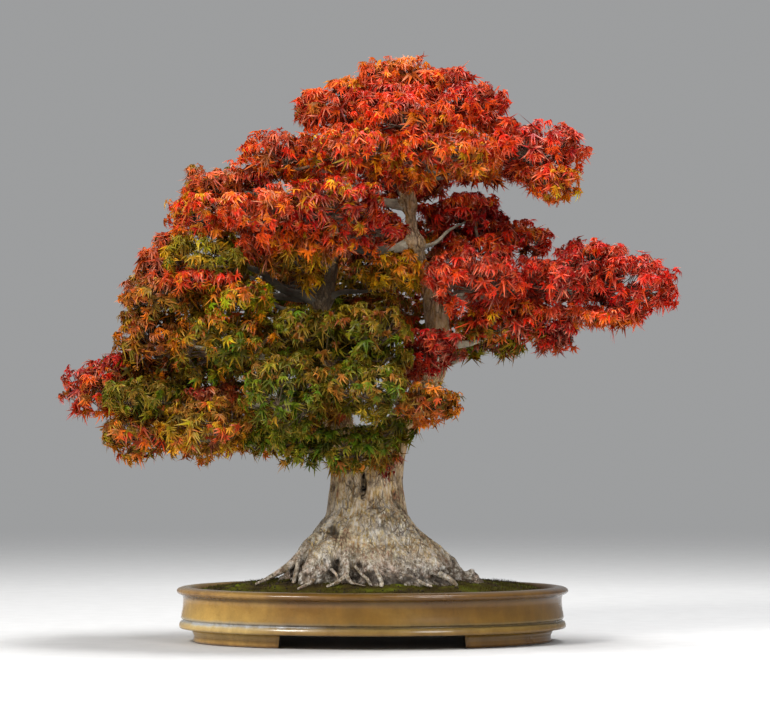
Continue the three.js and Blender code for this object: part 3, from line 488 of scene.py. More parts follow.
# Leaves. A lobe is its angle from the middle lobe in degrees and its length as a share of it. Leaves deep
# in the crown have fewer lobes and are larger. Twigs end a little inside a clump's surface, one tip for
# about every TIP_AREA of it, and a few of them stand out of it as a spray. A leaf gains detail for each
# pair of DETAIL_LEVELS, where it is less deep than the first number and in more open air than the second.
LOBES = [(-124, 0.4), (-79, 0.74), (-38, 0.95), (0, 1.0), (38, 0.95), (79, 0.74), (124, 0.4)]
PLAIN_LOBES = [(-100, 0.6), (-50, 0.9), (0, 1.0), (50, 0.9), (100, 0.6)]
LOBE_LENGTH = 16.5
LOBE_WIDEST = (0.5, 0.074)
SINUS_REACH = 0.2
LEAF_GROWTH = (3, 4, 9)
LEAF_SINK = 4
TIP_AREA = 672
TIP_SINK = 10
TIP_SPREAD = 20
SPRAY_SHARE = 0.07
LEAVES_PER_TIP = 6
PETIOLE_LENGTH = 8
PETIOLE_HALF_WIDTH = 0.45
DEEP_LEAF_SCALE = 1.5
PALE_LOBES = 0.48
DETAIL_LEVELS = [(0.5, 0.1), (0.2, 0.28)]

# Radii at the start and the end of the twig into a clump, of its boughs and of the fine twigs to its tips
CLUMP_TWIG = (2.6, 1.9)
BOUGH = (1.7, 1.0)
FINE_TWIG = (0.75, 0.4)
BOUGHS_PER_CLUMP = 9

# Open air round a point is looked for in this many directions, at these distances
AIR_DIRECTIONS = 14
AIR_REACHES = (26, 60, 115)

# Lights: name, place, size, power and colour, all aimed at LIGHT_AIM, in metres
LIGHT_AIM = (0, 0, 0.4)
LIGHTS = [
    ("key", (-2.0, -2.1, 2.4), 1.1, 112, (1, 0.98, 0.95)),
    ("top", (0.5, 0.2, 2.9), 1.4, 96, (1, 1, 1)),
    ("front", (1.5, -2.7, 1.8), 1.0, 34, (1, 1, 1)),
]
SKY_COLOUR = (0.8, 0.81, 0.82, 1)
SKY_STRENGTH = 0.42
FLOOR_RADIUS = 6500
FLOOR_LEVEL = -0.4


def linear(colour):
    """A name from COLOURS, or a colour such as #a78f6c, as linear red, green and blue"""
    text = COLOURS.get(colour, colour).lstrip("#")
    parts = np.array([int(text[i : i + 2], 16) for i in (0, 2, 4)]) / 255
    return np.where(parts <= 0.04045, parts / 12.92, ((parts + 0.055) / 1.055) ** 2.4)


def random_for(name):
    """Random numbers that are the same in every run"""
    return np.random.default_rng([SEED, zlib.crc32(name.encode())])


def unit(vectors):
    return vectors / np.maximum(np.linalg.norm(vectors, axis=-1, keepdims=True), 1e-9)


def smooth_step(values, low, high):
    """0 up to low, 1 from high on, and a smooth rise between"""
    share = np.clip((values - low) / (high - low), 0, 1)
    return share * share * (3 - 2 * share)


def value_noise(points, size, seed):
    """Smooth random values from -1 to 1, with features about `size` across"""
    cells = 32
    lattice = np.random.default_rng([SEED, seed]).uniform(-1, 1, (cells, cells, cells))
    spots = np.asarray(points, float) / size
    cell = np.floor(spots).astype(int)
    share = spots - cell
    share = share * share * (3 - 2 * share)
    total = np.zeros(len(spots))
    for corner in itertools.product((0, 1), repeat=3):
        weight = np.prod(np.where(corner, share, 1 - share), axis=1)
        index = (cell + corner) % cells
        total += weight * lattice[index[:, 0], index[:, 1], index[:, 2]]
    return total


class Soup:
    """Points and faces that are gathered into one mesh, with the points' colours and places on a blade"""

    def __init__(self):
        self.points, self.faces, self.colours, self.blades, self.count = [], [], [], [], 0

    def add(self, points, *faces, colours=None, blades=None):
        self.points.append(np.asarray(points, float))
        self.faces += [np.asarray(group, int) + self.count for group in faces if len(group)]
        self.count += len(points)
        if colours is not None:
            self.colours.append(colours)
        if blades is not None:
            self.blades.append(blades)


def mesh_object(name, soup, material):
    """A Blender object from a Soup, in metres"""
    points = np.concatenate(soup.points) * MM
    corners = np.concatenate([group.ravel() for group in soup.faces])
    sizes = np.concatenate([np.full(len(group), group.shape[1]) for group in soup.faces])
    starts = np.concatenate([[0], np.cumsum(sizes)[:-1]])
    mesh = bpy.data.meshes.new(name)
    mesh.vertices.add(len(points))
    mesh.vertices.foreach_set("co", points.ravel())
    mesh.loops.add(len(corners))
    mesh.loops.foreach_set("vertex_index", corners)
    mesh.polygons.add(len(sizes))
    mesh.polygons.foreach_set("loop_start", starts)
    mesh.polygons.foreach_set("use_smooth", np.ones(len(sizes), bool))
    mesh.update(calc_edges=True)
    if soup.colours:
        values = np.concatenate(soup.colours)
        shades = np.column_stack([values, np.ones(len(values))])
        mesh.attributes.new("shade", "FLOAT_COLOR", "POINT").data.foreach_set("color", shades.ravel())
    if soup.blades:
        values = np.concatenate(soup.blades)
        mesh.attributes.new("blade", "FLOAT_VECTOR", "POINT").data.foreach_set("vector", values.ravel())
    mesh.validate()
    mesh.materials.append(material)
    made = bpy.data.objects.new(name, mesh)
    bpy.context.scene.collection.objects.link(made)
    return made


def turns(count):
    """Angles that are evenly spread over a full turn"""
    return np.arange(count) * 2 * np.pi / count


def ring_quads(rings, sides, inward=False):
    """Quads between rings of points that follow one another, with `sides` points in each"""
    around = np.arange(sides)
    low = (np.arange(rings - 1)[:, None] * sides + around).ravel()
    high = (np.arange(rings - 1)[:, None] * sides + (around + 1) % sides).ravel()
    if inward:
        return np.column_stack([low, low + sides, high + sides, high])
    return np.column_stack([low, high, high + sides, low + sides])


def ring_fan(first, sides, middle, inward=False):
    """Triangles from a ring, whose points start at `first`, to a point in its middle"""
    start = first + np.arange(sides)
    end = first + (np.arange(sides) + 1) % sides
    pair = (end, start) if inward else (start, end)
    return np.column_stack([*pair, np.full(sides, middle)])


def curve_through(points, step):
    """Points x, y, z, radius on a smooth curve through the given ones, about `step` apart"""
    given = np.array(points, float)
    ends = np.vstack([2 * given[0] - given[1], given, 2 * given[-1] - given[-2]])
    spans = []
    for before, start, end, after in zip(ends, ends[1:], ends[2:], ends[3:]):
        count = max(1, int(round(np.linalg.norm((end - start)[:3]) / step)))
        t = np.linspace(0, 1, count, endpoint=False)[:, None]
        spans.append(
            0.5
            * (
                2 * start
                + (end - before) * t
                + (2 * before - 5 * start + 4 * end - after) * t**2
                + (3 * start - before - 3 * end + after) * t**3
            )
        )
    return np.vstack(spans + [given[-1:]])


def add_tube(soup, path, sides, knots=0.0, seed=0, cap=True):
    """A limb along a path of x, y, z, radius. `knots` is the share by which its radius varies."""
    centres, radii = path[:, :3], path[:, 3].copy()
    if knots:
        radii *= 1 + knots * value_noise(centres, 14, seed)
    tangents = unit(np.gradient(centres, axis=0))
    side = np.cross(tangents[0], (0.31, 0.87, 0.38))
    rings = []
    angles = turns(sides)
    for centre, tangent, radius in zip(centres, tangents, radii):
        side = side - tangent * side.dot(tangent)
        side /= np.linalg.norm(side)
        other = np.cross(tangent, side)
        rings.append(centre + radius * (np.outer(np.cos(angles), side) + np.outer(np.sin(angles), other)))
    points = np.vstack(rings)
    quads = ring_quads(len(rings), sides)
    if not cap:
        soup.add(points, quads)
        return
    tip = centres[-1] + tangents[-1] * radii[-1]
    tips = ring_fan(len(points) - sides, sides, len(points))
    heel = ring_fan(0, sides, len(points) + 1, inward=True)
    soup.add(np.vstack([points, tip, centres[0]]), quads, tips, heel)


def point_on_stem(stem, height):
    """The stem's x, y, z and radius at a height"""
    above = next(i for i, spot in enumerate(stem) if spot[2] >= height)
    low, high = np.array(stem[above - 1]), np.array(stem[above])
    return low + (high - low) * (height - low[2]) / (high[2] - low[2])


def branch_path(branch):
    """The curve of a pad's branch, thickened where it leaves the stem"""
    stem, height, radius, via, end = branch
    foot = point_on_stem(stem, height)[:3]
    spots = [foot, *map(np.array, via), np.array(end)]
    path = curve_through([(*spot, 0) for spot in spots], 7)
    share = np.linspace(0, 1, len(path))
    path[:, 3] = radius * (0.9 - 0.55 * share) + radius * 0.5 * np.exp(-share * len(path) * 0.45)
    wander = value_noise(path[:, :3] + 300, 26, 5) * 2.2
    lift = value_noise(path[:, :3] - 300, 30, 6) * 2.2
    fade = np.sin(np.pi * share)
    path[:, 1] += wander * fade
    path[:, 2] += lift * fade
    return path


class Field:
    """Distances to a surface on a grid, negative inside it. Nothing is measured past `far`."""

    far = 40

    def __init__(self, low, high, step):
        self.low, self.step = np.array(low, float), step
        self.axes = [np.arange(a, b, step, dtype=np.float32) for a, b in zip(low, high)]
        self.values = np.full([len(axis) for axis in self.axes], self.far, np.float32)

    def block(self, low, high):
        """The slices of the grid that hold a box, and the grid's coordinates there"""
        cut = tuple(
            slice(int(np.searchsorted(axis, a)), int(np.searchsorted(axis, b)))
            for axis, a, b in zip(self.axes, low, high)
        )
        x, y, z = (axis[part] for axis, part in zip(self.axes, cut))
        return cut, x[:, None, None], y[None, :, None], z[None, None, :]

    def limb(self, points, margin):
        """Distances to a limb, over the block of grid round it"""
        path = curve_through(points, 9)
        low = (path[:, :3] - path[:, 3:]).min(0) - margin
        high = (path[:, :3] + path[:, 3:]).max(0) + margin
        cut, x, y, z = self.block(low, high)
        nearest = np.full(np.broadcast_shapes(x.shape, y.shape, z.shape), self.far, np.float32)
        for start, end in zip(path, path[1:]):
            along = (end - start)[:3]
            squared = float(along.dot(along)) or 1.0
            dx, dy, dz = x - start[0], y - start[1], z - start[2]
            share = np.clip((dx * along[0] + dy * along[1] + dz * along[2]) / squared, 0, 1)
            gap = np.sqrt(
                (dx - share * along[0]) ** 2 + (dy - share * along[1]) ** 2 + (dz - share * along[2]) ** 2
            )
            nearest = np.minimum(nearest, gap - (start[3] + share * (end[3] - start[3])))
        return cut, nearest.astype(np.float32)

    def add(self, points, soft):
        """Joins a limb on, with a fillet about `soft` wide"""
        cut, other = self.limb(points, soft + 6)
        mine = self.values[cut]
        share = np.clip(0.5 + 0.5 * (mine - other) / soft, 0, 1)
        self.values[cut] = mine + (other - mine) * share - soft * share * (1 - share)

    def carve(self, points, soft):
        """Cuts a limb's shape out, with edges about `soft` wide"""
        cut, hole = self.limb(points, soft + 6)
        mine, other = self.values[cut], -hole
        share = np.clip(0.5 - 0.5 * (mine - other) / soft, 0, 1)
        self.values[cut] = mine + (other - mine) * share + soft * share * (1 - share)

    def surface(self):
        """Points and outward quads of the surface, closed where it meets the grid's floor"""
        self.values[:, :, 0] = 1
        grid = openvdb.FloatGrid(self.far)
        grid.copyFromArray(self.values)
        points, quads = grid.convertToQuads()
        points = points.astype(float) * self.step + self.low
        a, b, c = (points[quads[:, i]] for i in (0, 1, 2))
        if np.einsum("ij,ij->i", a, np.cross(b, c)).sum() < 0:
            quads = quads[:, ::-1]
        return points, quads


def point_normals(points, quads):
    """The outward direction at every point of a mesh of quads"""
    a, b, c, d = (points[quads[:, i]] for i in range(4))
    facing = np.cross(c - a, d - b)
    normals = np.zeros_like(points)
    for axis in range(3):
        for corner in range(4):
            normals[:, axis] += np.bincount(quads[:, corner], facing[:, axis], len(points))
    return unit(normals)


def trunk_column(field):
    """The flared column of the trunk, fluted where the roots draw it out"""
    table = np.array(TRUNK_SECTIONS, float)
    cut, x, y, z = field.block((-130, -110, table[0, 0]), (130, 110, table[-1, 0]))
    heights = z.ravel()
    rows = (np.interp(heights, table[:, 0], table[:, i]) for i in (1, 2, 3))
    middle, half_x, half_y = (row[None, None, :] for row in rows)
    dx = x - middle
    angle = np.arctan2(y, dx)
    flute = 0.035 * np.cos(9 * angle + 0.02 * z) + 0.025 * np.cos(5 * angle - 0.012 * z + 1.3)
    reach = np.sqrt((dx / half_x) ** 2 + (y / half_y) ** 2)
    shape = (reach - 1 - flute) * np.minimum(half_x, half_y)
    field.values[cut] = np.minimum(field.values[cut], shape.astype(np.float32))


def cell_edges(points, size, seed):
    """0 on the edges between random cells about `size` across, rising to 1 inside them"""
    spots = points / size
    cell = np.floor(spots).astype(int)
    jitter = np.random.default_rng([SEED, seed]).random((16, 16, 16, 3))
    first, second = np.full(len(points), 9.0), np.full(len(points), 9.0)
    for step in itertools.product((-1, 0, 1), repeat=3):
        near = cell + step
        index = near % 16
        gap = np.linalg.norm(near + jitter[index[:, 0], index[:, 1], index[:, 2]] - spots, axis=1)
        second = np.minimum(second, np.maximum(first, gap))
        first = np.minimum(first, gap)
    return np.clip((second - first) * 2.2, 0, 1)


def bark_relief(points):
    """How far the bark stands out, and how deep in a fissure each point lies, with painted shade in the low
    hollows of the base
    """
    warp = np.column_stack([value_noise(points, 11, seed) for seed in (21, 22, 23)])
    warped = points + warp * (3.0, 3.0, 5.0)
    plates = cell_edges(warped * (1, 1, 0.34), 8.5, 24)
    fine = value_noise(points * (1, 1, 0.4) + warp * 2, 3.4, 25)
    mask = smooth_step(value_noise(points, 19, 30), -0.45, 0.35)
    fissure = (1 - smooth_step(plates, 0.0, 0.32)) * (0.35 + 0.65 * mask)
    pits = 1 - smooth_step(value_noise(points, 5.5, 26), -0.75, -0.25)
    base = 1 - smooth_step(points[:, 2] + 10 * value_noise(points, 22, 31), 92, 140)
    ridges = 0.42 - np.abs(value_noise(points + 3 * warp, 8.5, 28))
    knobs = value_noise(points, 14, 27) * 2.6 + ridges * 4.2
    swell = value_noise(points, 30, 29) * 1.8
    out = swell - fissure * 1.5 * (1 - 0.55 * base) + fine * 0.4 + base * (knobs - pits * 1.6)
    # Painted shade in the low hollows between the knobs of the base
    hollow = smooth_step(-knobs, 0.8, 4) * base
    depth = np.clip(fissure * (1 - 0.6 * base) + base * pits * 0.8 + hollow, 0, 1)
    return out, depth


def with_painted_shade(points, depth):
    """The depths of the bark's fissures, with painted shade in the hollows and patches, whose edges are
    ragged
    """
    # Painted shade in the carved hollows, darkest in the cleft under the fork
    for hollow in HOLLOWS:
        path = curve_through(hollow, 4)
        gaps = np.linalg.norm(points[:, None] - path[None, :, :3], axis=2) / path[None, :, 3]
        ragged = gaps.min(1) + 0.42 * value_noise(points, 5, 37) + 0.28 * value_noise(points, 2.8, 38)
        darkest = 1 if hollow[0][2] > 200 else 0.86
        depth = np.maximum(depth, (1 - smooth_step(ragged, 0.85, 1.45)) * darkest)
    # Painted shade in patches at the foot of the trunk, between the roots
    for patch in PAINTED_SHADE_PATCHES:
        gaps = np.linalg.norm((points - patch[:3]) / patch[3:], axis=1)
        ragged = gaps + 0.6 * value_noise(points, 7, 41) + 0.4 * value_noise(points, 3.2, 42)
        depth = np.maximum(depth, 0.85 * (1 - smooth_step(ragged, 0.6, 1.15)))
    return depth


def make_trunk(material):
    """The trunk, its roots and its two stems, blended on a grid and given their bark"""
    field = Field(TRUNK_LOW, TRUNK_HIGH, TRUNK_STEP)
    trunk_column(field)
    for root in ROOTS:
        field.add(root, ROOT_FILLET)
    for stem in (RIGHT_STEM, LEFT_STEM):
        field.add(stem, STEM_FILLET)
    for hollow in HOLLOWS:
        field.carve(hollow, HOLLOW_EDGE)
    for pad in PADS.values():
        stem, height, radius, via, end = pad["branch"]
        if height < HIGHEST_TRUNK_BRANCH:
            foot = point_on_stem(stem, height)
            toward = via[0] - foot[:3]
            reach = foot[:3] + toward / np.linalg.norm(toward) * (foot[3] + radius)
            field.add([(*foot[:3], radius * 1.6), (*reach, radius * 1.05)], BRANCH_FILLET)
    points, quads = field.surface()
    normals = point_normals(points, quads)
    out, depth = bark_relief(points)
    depth = with_painted_shade(points, depth * 0.9)
    slim = smooth_step(points[:, 2], 330, 560)
    points = points + normals * (out * (1 - 0.6 * slim))[:, None]
    base = 1 - smooth_step(points[:, 2], 90, 132)
    soup = Soup()
    soup.add(points, quads, colours=np.column_stack([depth, base, limb_shade(points)]))
    for i, root in enumerate(THIN_ROOTS):
        path = curve_through(root, 3)
        path[:, :3] += value_noise(path[:, :3], 8, 35 + i)[:, None] * (0.6, 0.6, 0.5)
        add_tube(soup, path, 9, knots=0.22, seed=60 + i)
        count = len(soup.points[-1])
        pits = 0.5 * smooth_step(value_noise(soup.points[-1], 4, 36), 0.1, 0.6)
        soup.colours.append(np.column_stack([pits, np.full(count, 0.75), np.zeros(count)]))
    return mesh_object("trunk_and_roots", soup, material)


def limb_shade(points):
    """How deep in the shade of the crown each point of the wood lies, from 0 to 1"""
    shade = np.zeros(len(points))
    x, z = points[:, 0], points[:, 2]
    inside = z > CROWN_BOTTOM
    clumps = [clump for name in PADS for clump, _ in leaf_clumps(name)]
    shade[inside] = 1 - smooth_step(exposure(points[inside], clumps), 0.05, 0.65)
    open_side = smooth_step(x, *OPEN_SIDE_X) * (1 - smooth_step(z, *OPEN_SIDE_TOP))
    shade *= 1 - 0.95 * open_side
    cavity = smooth_step(z, *CAVITY_BOTTOM) * (1 - smooth_step(z, *CAVITY_TOP))
    cavity *= 1 - smooth_step(x, *CAVITY_X)
    return np.maximum(shade, 0.85 * cavity)


def make_branches(material):
    """One branch for each pad, and the slim top of the right stem"""
    soup = Soup()
    for i, pad in enumerate(PADS.values()):
        path = branch_path(pad["branch"])
        add_tube(soup, path, 9, knots=0.16, seed=40 + i)
    top = [spot for spot in RIGHT_STEM if spot[2] >= STEM_TUBE_FROM]
    add_tube(soup, curve_through(top, 7), 9, knots=0.12, seed=90)
    points = np.vstack(soup.points)
    soup.colours.append(np.repeat(limb_shade(points)[:, None], 3, axis=1))
    return mesh_object("branches", soup, material)


def ellipsoid_distance(points, clump, grow=0.0):
    """How far out of a clump each point is: under 1 inside it"""
    centre, half = np.array(clump[:3]), np.array(clump[3:]) + grow
    return np.linalg.norm((points - centre) / half, axis=1)


def golden_directions(count, random):
    """Evenly spread directions, with a little jitter"""
    index = np.arange(count)
    z = 1 - 2 * (index + 0.5) / count
    angle = index * math.pi * (3 - math.sqrt(5)) + random.uniform(0, 2 * math.pi)
    flat = np.sqrt(1 - z * z)
    spots = np.column_stack([flat * np.cos(angle), flat * np.sin(angle), z])
    return unit(spots + random.normal(0, 0.16, spots.shape))


def grown(clump):
    """A pad's clump as large as its leaves spread"""
    x, y, z, *half = clump
    return (x, y, z - LEAF_SINK, *(size + more for size, more in zip(half, LEAF_GROWTH)))


def leaf_clumps(name):
    """The clumps of leaves of one pad, each with its looks"""
    looks = PADS[name]["looks"]
    own = [(grown(clump), looks[min(i, len(looks) - 1)]) for i, clump in enumerate(PADS[name]["clumps"])]
    return own + [(clump, colours) for pad, clump, colours in FILLS if pad == name]


def exposure(points, clumps):
    """The share of directions in which each point has no leaves between it and the open air"""
    directions = golden_directions(AIR_DIRECTIONS, np.random.default_rng(SEED))
    clear = np.zeros(len(points))
    for direction in directions:
        blocked = np.zeros(len(points), bool)
        for reach in AIR_REACHES:
            for clump in clumps:
                blocked |= ellipsoid_distance(points + direction * reach, clump, -10) < 1
        clear += ~blocked
    return clear / len(directions)


def clump_tips(clump, others, random):
    """Where the twigs of a clump end: points, outward directions, depths in the clump and exposures"""
    centre, half = np.array(clump[:3]), np.array(clump[3:])
    a, b, c = half
    area = 4 * math.pi * (((a * b) ** 1.6 + (a * c) ** 1.6 + (b * c) ** 1.6) / 3) ** (1 / 1.6)
    directions = golden_directions(int(area / TIP_AREA * 1.7), random)
    depth = random.random(len(directions)) ** 1.3
    scale = (half - TIP_SINK - TIP_SPREAD * depth[:, None] * np.array([1, 1, 0.75])) / half
    normals = unit(directions / half)
    points = centre + directions * half * np.maximum(scale, 0.3)
    points += normals * (6 * value_noise(points, 30, 51))[:, None]
    spray = (random.random(len(points)) < SPRAY_SHARE) & (normals[:, 2] < 0.8)
    points += normals * (1, 1, 0.3) * (spray * random.uniform(3, 11, len(points)))[:, None]
    keep = random.random(len(points)) < np.where(normals[:, 2] > -0.35, 1.0, 0.5)
    for other in others:
        keep &= ellipsoid_distance(points, other, -17) > 1
    points, normals, depth = points[keep], normals[keep], depth[keep]
    clear = exposure(points, [clump, *others])
    keep = random.random(len(points)) < 0.5 + 2 * clear
    return points[keep], normals[keep], depth[keep], clear[keep]


def bent_path(start, end, radius, tip_radius, count, lift):
    """A twig from start to end that rises on its way"""
    t = np.linspace(0, 1, count)[:, None]
    middle = start * 0.45 + end * 0.55 + (0, 0, lift)
    spots = (1 - t) ** 2 * start + 2 * t * (1 - t) * middle + t**2 * end
    return np.column_stack([spots, radius + (tip_radius - radius) * t])


def leaf_frames(tips, starts, normals, depths, random):
    """Every leaf round the twig ends: its foot, its middle, the directions along, across and out of its
    face, its depth in the clump and its twig"""
    index = np.repeat(np.arange(len(tips)), LEAVES_PER_TIP)
    count = len(index)
    below_tip = np.arange(count) % LEAVES_PER_TIP > 0
    share = random.uniform(0.0, 0.5, count)[:, None] * below_tip[:, None]
    foot = tips[index] + (starts[index] - tips[index]) * share * 0.5
    normal = normals[index]
    heading = np.arctan2(normal[:, 1], normal[:, 0]) + random.normal(0, 0.9, count)
    steep = 1 - np.clip(normal[:, 2], -0.2, 1)
    droop = np.clip(0.25 + 1.0 * steep**0.9 + random.normal(0, 0.28, count), -0.25, 1.5)
    flat = np.column_stack([np.cos(heading), np.sin(heading)]) * np.cos(droop)[:, None]
    along = np.column_stack([flat, -np.sin(droop)])
    rising = np.column_stack([flat, np.full(count, 0.25)])
    stalk = unit(normal * 0.5 + rising + random.normal(0, 0.35, (count, 3)))
    centre = foot + stalk * (PETIOLE_LENGTH * random.uniform(0.6, 1.25, count))[:, None]
    face = normal * 0.6 + (0, 0, 0.75) + random.normal(0, 0.3, (count, 3))
    across = unit(np.cross(face, along))
    face = unit(np.cross(along, across))
    return foot, centre, along, across, face, depths[index], index


def leaf_template(lobes, detail):
    """Points and faces of one leaf, each point as its lobe, reach and half width. Its lobes are folded
    along a rib at detail 2, flat at detail 1 and plain triangles at detail 0."""
    count = len(lobes)
    reach, width = LOBE_WIDEST
    rows = [(count // 2, 0.0, 0.0)] + [(min(i, count - 1), "sinus", i) for i in range(count + 1)]
    quads, tris = [], []
    for lobe in range(count):
        left, right = 1 + lobe, 2 + lobe
        if detail == 0 or lobe in (0, count - 1):
            rows.append((lobe, 1.0, 0.0))
            tris += [(0, left, len(rows) - 1), (0, len(rows) - 1, right)]
            continue
        columns = (left, 0, right) if detail == 2 else (left, right)
        offsets = (-width, 0.0, width) if detail == 2 else (-width, width)
        if detail == 1:
            tris.append((0, left, right))
        first = len(rows)
        rows += [(lobe, reach, offset) for offset in offsets]
        row = range(first, len(rows))
        quads += [(columns[i], row[i], row[i + 1], columns[i + 1]) for i in range(len(row) - 1)]
        rows.append((lobe, 1.0, 0.0))
        tris += [(row[i], len(rows) - 1, row[i + 1]) for i in range(len(row) - 1)]
    return rows, np.array(quads).reshape(-1, 4), np.array(tris)


def add_leaves(soup, frames, shades, detail, random):
    """Curled lobed leaves, each with its stalk"""
    foot, centre, along, across, face = frames
    count = len(foot)
    if not count:
        return
    outline = LOBES if detail else PLAIN_LOBES
    rows, quads, tris = leaf_template(outline, detail)
    lobes = len(outline)
    size = LOBE_LENGTH * random.uniform(0.66, 1.14, count) * (1 if detail else DEEP_LEAF_SCALE)
    angle = np.radians([lobe[0] for lobe in outline]) * random.uniform(0.5, 1.0, (count, 1))
    angle = angle + random.normal(0, 0.12, (count, lobes))
    length = np.array([lobe[1] for lobe in outline]) * random.uniform(0.8, 1.12, (count, lobes))
    length = length * size[:, None]
    start = random.uniform(-0.3, 0.5, count)
    curl = random.uniform(0.4, 3.0, (count, 1)) + random.normal(0, 0.8, (count, lobes))
    sway = random.normal(0, 0.34, (count, lobes))
    fold = random.uniform(0.2, 1.1, count)
    width = random.uniform(0.8, 1.3, count)
    bright = random.random((count, lobes)) < PALE_LOBES
    pale = random.uniform(0, 1, (count, lobes)) * np.where(bright, 0.6, 0.25) + np.where(bright, 0.4, 0)
    along_lobe = ((np.arange(6) + 0.5) / 6)[:, None]
    last = len(rows)
    points, colours, blades = (np.zeros((count, last + 2, 3)) for _ in range(3))
    lobe_tone = 1 + random.normal(0, 0.2, (count, lobes))
    leaf_tone = random.random(count)
    for i, (lobe, reach, offset) in enumerate(rows):
        if reach == "sinus":
            low, high = max(offset - 1, 0), min(offset, lobes - 1)
            turn = (angle[:, low] + angle[:, high]) / 2 + {0: -0.35, lobes: 0.35}.get(offset, 0)
            run = size * SINUS_REACH * (0.62 if offset in (0, lobes) else 1)
            bend, wide, reach = curl[:, high], np.zeros(count), SINUS_REACH
        else:
            turn = angle[:, lobe] + sway[:, lobe] * reach**1.5
            run, bend = length[:, lobe] * reach, curl[:, lobe]
            wide = offset * size * width
        slope = start + bend * reach**1.6
        slopes = start + bend * (reach * along_lobe) ** 1.6
        out = run * np.cos(slopes).mean(0)
        drop = -run * np.sin(slopes).mean(0)
        radial = np.cos(turn)[:, None] * along + np.sin(turn)[:, None] * across
        sideways = -np.sin(turn)[:, None] * along + np.cos(turn)[:, None] * across
        upward = np.sin(slope)[:, None] * radial + np.cos(slope)[:, None] * face
        lift = np.abs(wide) * np.sin(fold)
        points[:, i] = (
            centre + radial * out[:, None] + face * drop[:, None]
            + sideways * (wide * np.cos(fold))[:, None] + upward * lift[:, None]
        )
        # Pale lobe tips, partly their own colour and partly a painted highlight
        fade = (smooth_step(reach, 0.38, 1.0) * pale[:, lobe])[:, None]
        # Painted shade in the middle of each leaf, where its lobes meet, fading out half way along them;
        # lobe_tone is each lobe's own tone
        tone = lobe_tone[:, lobe][:, None] * (0.42 + 0.58 * smooth_step(reach, 0.0, 0.5))
        shade = (shades[:, 0] * (1 - reach) + shades[:, 1] * reach) * tone
        colours[:, i] = shade * (1 - fade) + shades[:, 2] * fade
        blades[:, i] = np.column_stack([wide / (size * 0.08), np.full(count, reach), leaf_tone])
    points[:, last] = foot - across * PETIOLE_HALF_WIDTH
    points[:, last + 1] = foot + across * PETIOLE_HALF_WIDTH
    colours[:, last:] = (shades[:, 0] * 0.45)[:, None]
    stalk = np.array([(0, last, last + 1)])
    steps = (np.arange(count) * (last + 2))[:, None, None]
    soup.add(
        points.reshape(-1, 3),
        (quads[None] + steps).reshape(-1, 4),
        (np.vstack([tris, stalk])[None] + steps).reshape(-1, 3),
        colours=np.clip(colours, 0, 1).reshape(-1, 3),
        blades=blades.reshape(-1, 3),
    )


def leaf_shades(looks, centres, clump, painted_shade_dim, random):
    """Three colours of a leaf: middle, lobe ends and a curled tip's pale rim, with painted shade and
    highlight
    """
    crown, middle, fringe, scattered = map(linear, looks.split())
    count = len(centres)
    height = (centres[:, 2] - clump[2]) / clump[5]
    patch = value_noise(centres, 34, 61)
    level = height * 0.95 + patch * 0.8 + random.normal(0, 0.4, count)
    weight_crown = smooth_step(level, 0.1, 0.6)[:, None]
    weight_fringe = smooth_step(-level, 0.15, 0.6)[:, None]
    shade = middle * (1 - weight_crown - weight_fringe) + crown * weight_crown + fringe * weight_fringe
    stray = (value_noise(centres, 19, 62) + random.normal(0, 0.4, count) > 0.48)[:, None]
    shade = np.where(stray, scattered * 0.85 + shade * 0.15, shade)
    tone = np.exp(random.normal(0.1, 0.36, count) + 0.22 * value_noise(centres, 12, 63))[:, None]
    tint = 1 + random.normal(0, 0.1, (count, 3))
    # The leaf's colour, darkened by its painted shade
    shade = shade * tone * tint * painted_shade_dim[:, None]
    ends = np.stack([crown, middle, fringe, scattered])[random.integers(0, 4, count)]
    mixed = random.uniform(0.1, 0.9, count)[:, None]
    tips = shade * (1 - mixed) + ends * tone * mixed
    # The pale rim is partly the leaf's own pale underside and dried tip, and partly a painted highlight
    reddish = shade[:, :1] > 4 * shade[:, 1:2]
    golden = (random.random(count) < 0.4)[:, None]
    rim = np.where(reddish, linear("peach"), np.where(golden, linear("tan"), linear("straw")))
    # Painted highlight: the rim is paler on the crown and in the open air, where the light falls
    pale = shade * 0.3 + rim * (0.74 + 0.36 * weight_crown) * painted_shade_dim[:, None] ** 1.5
    return np.clip(np.stack([shade, tips, pale], axis=1), 0, 1)


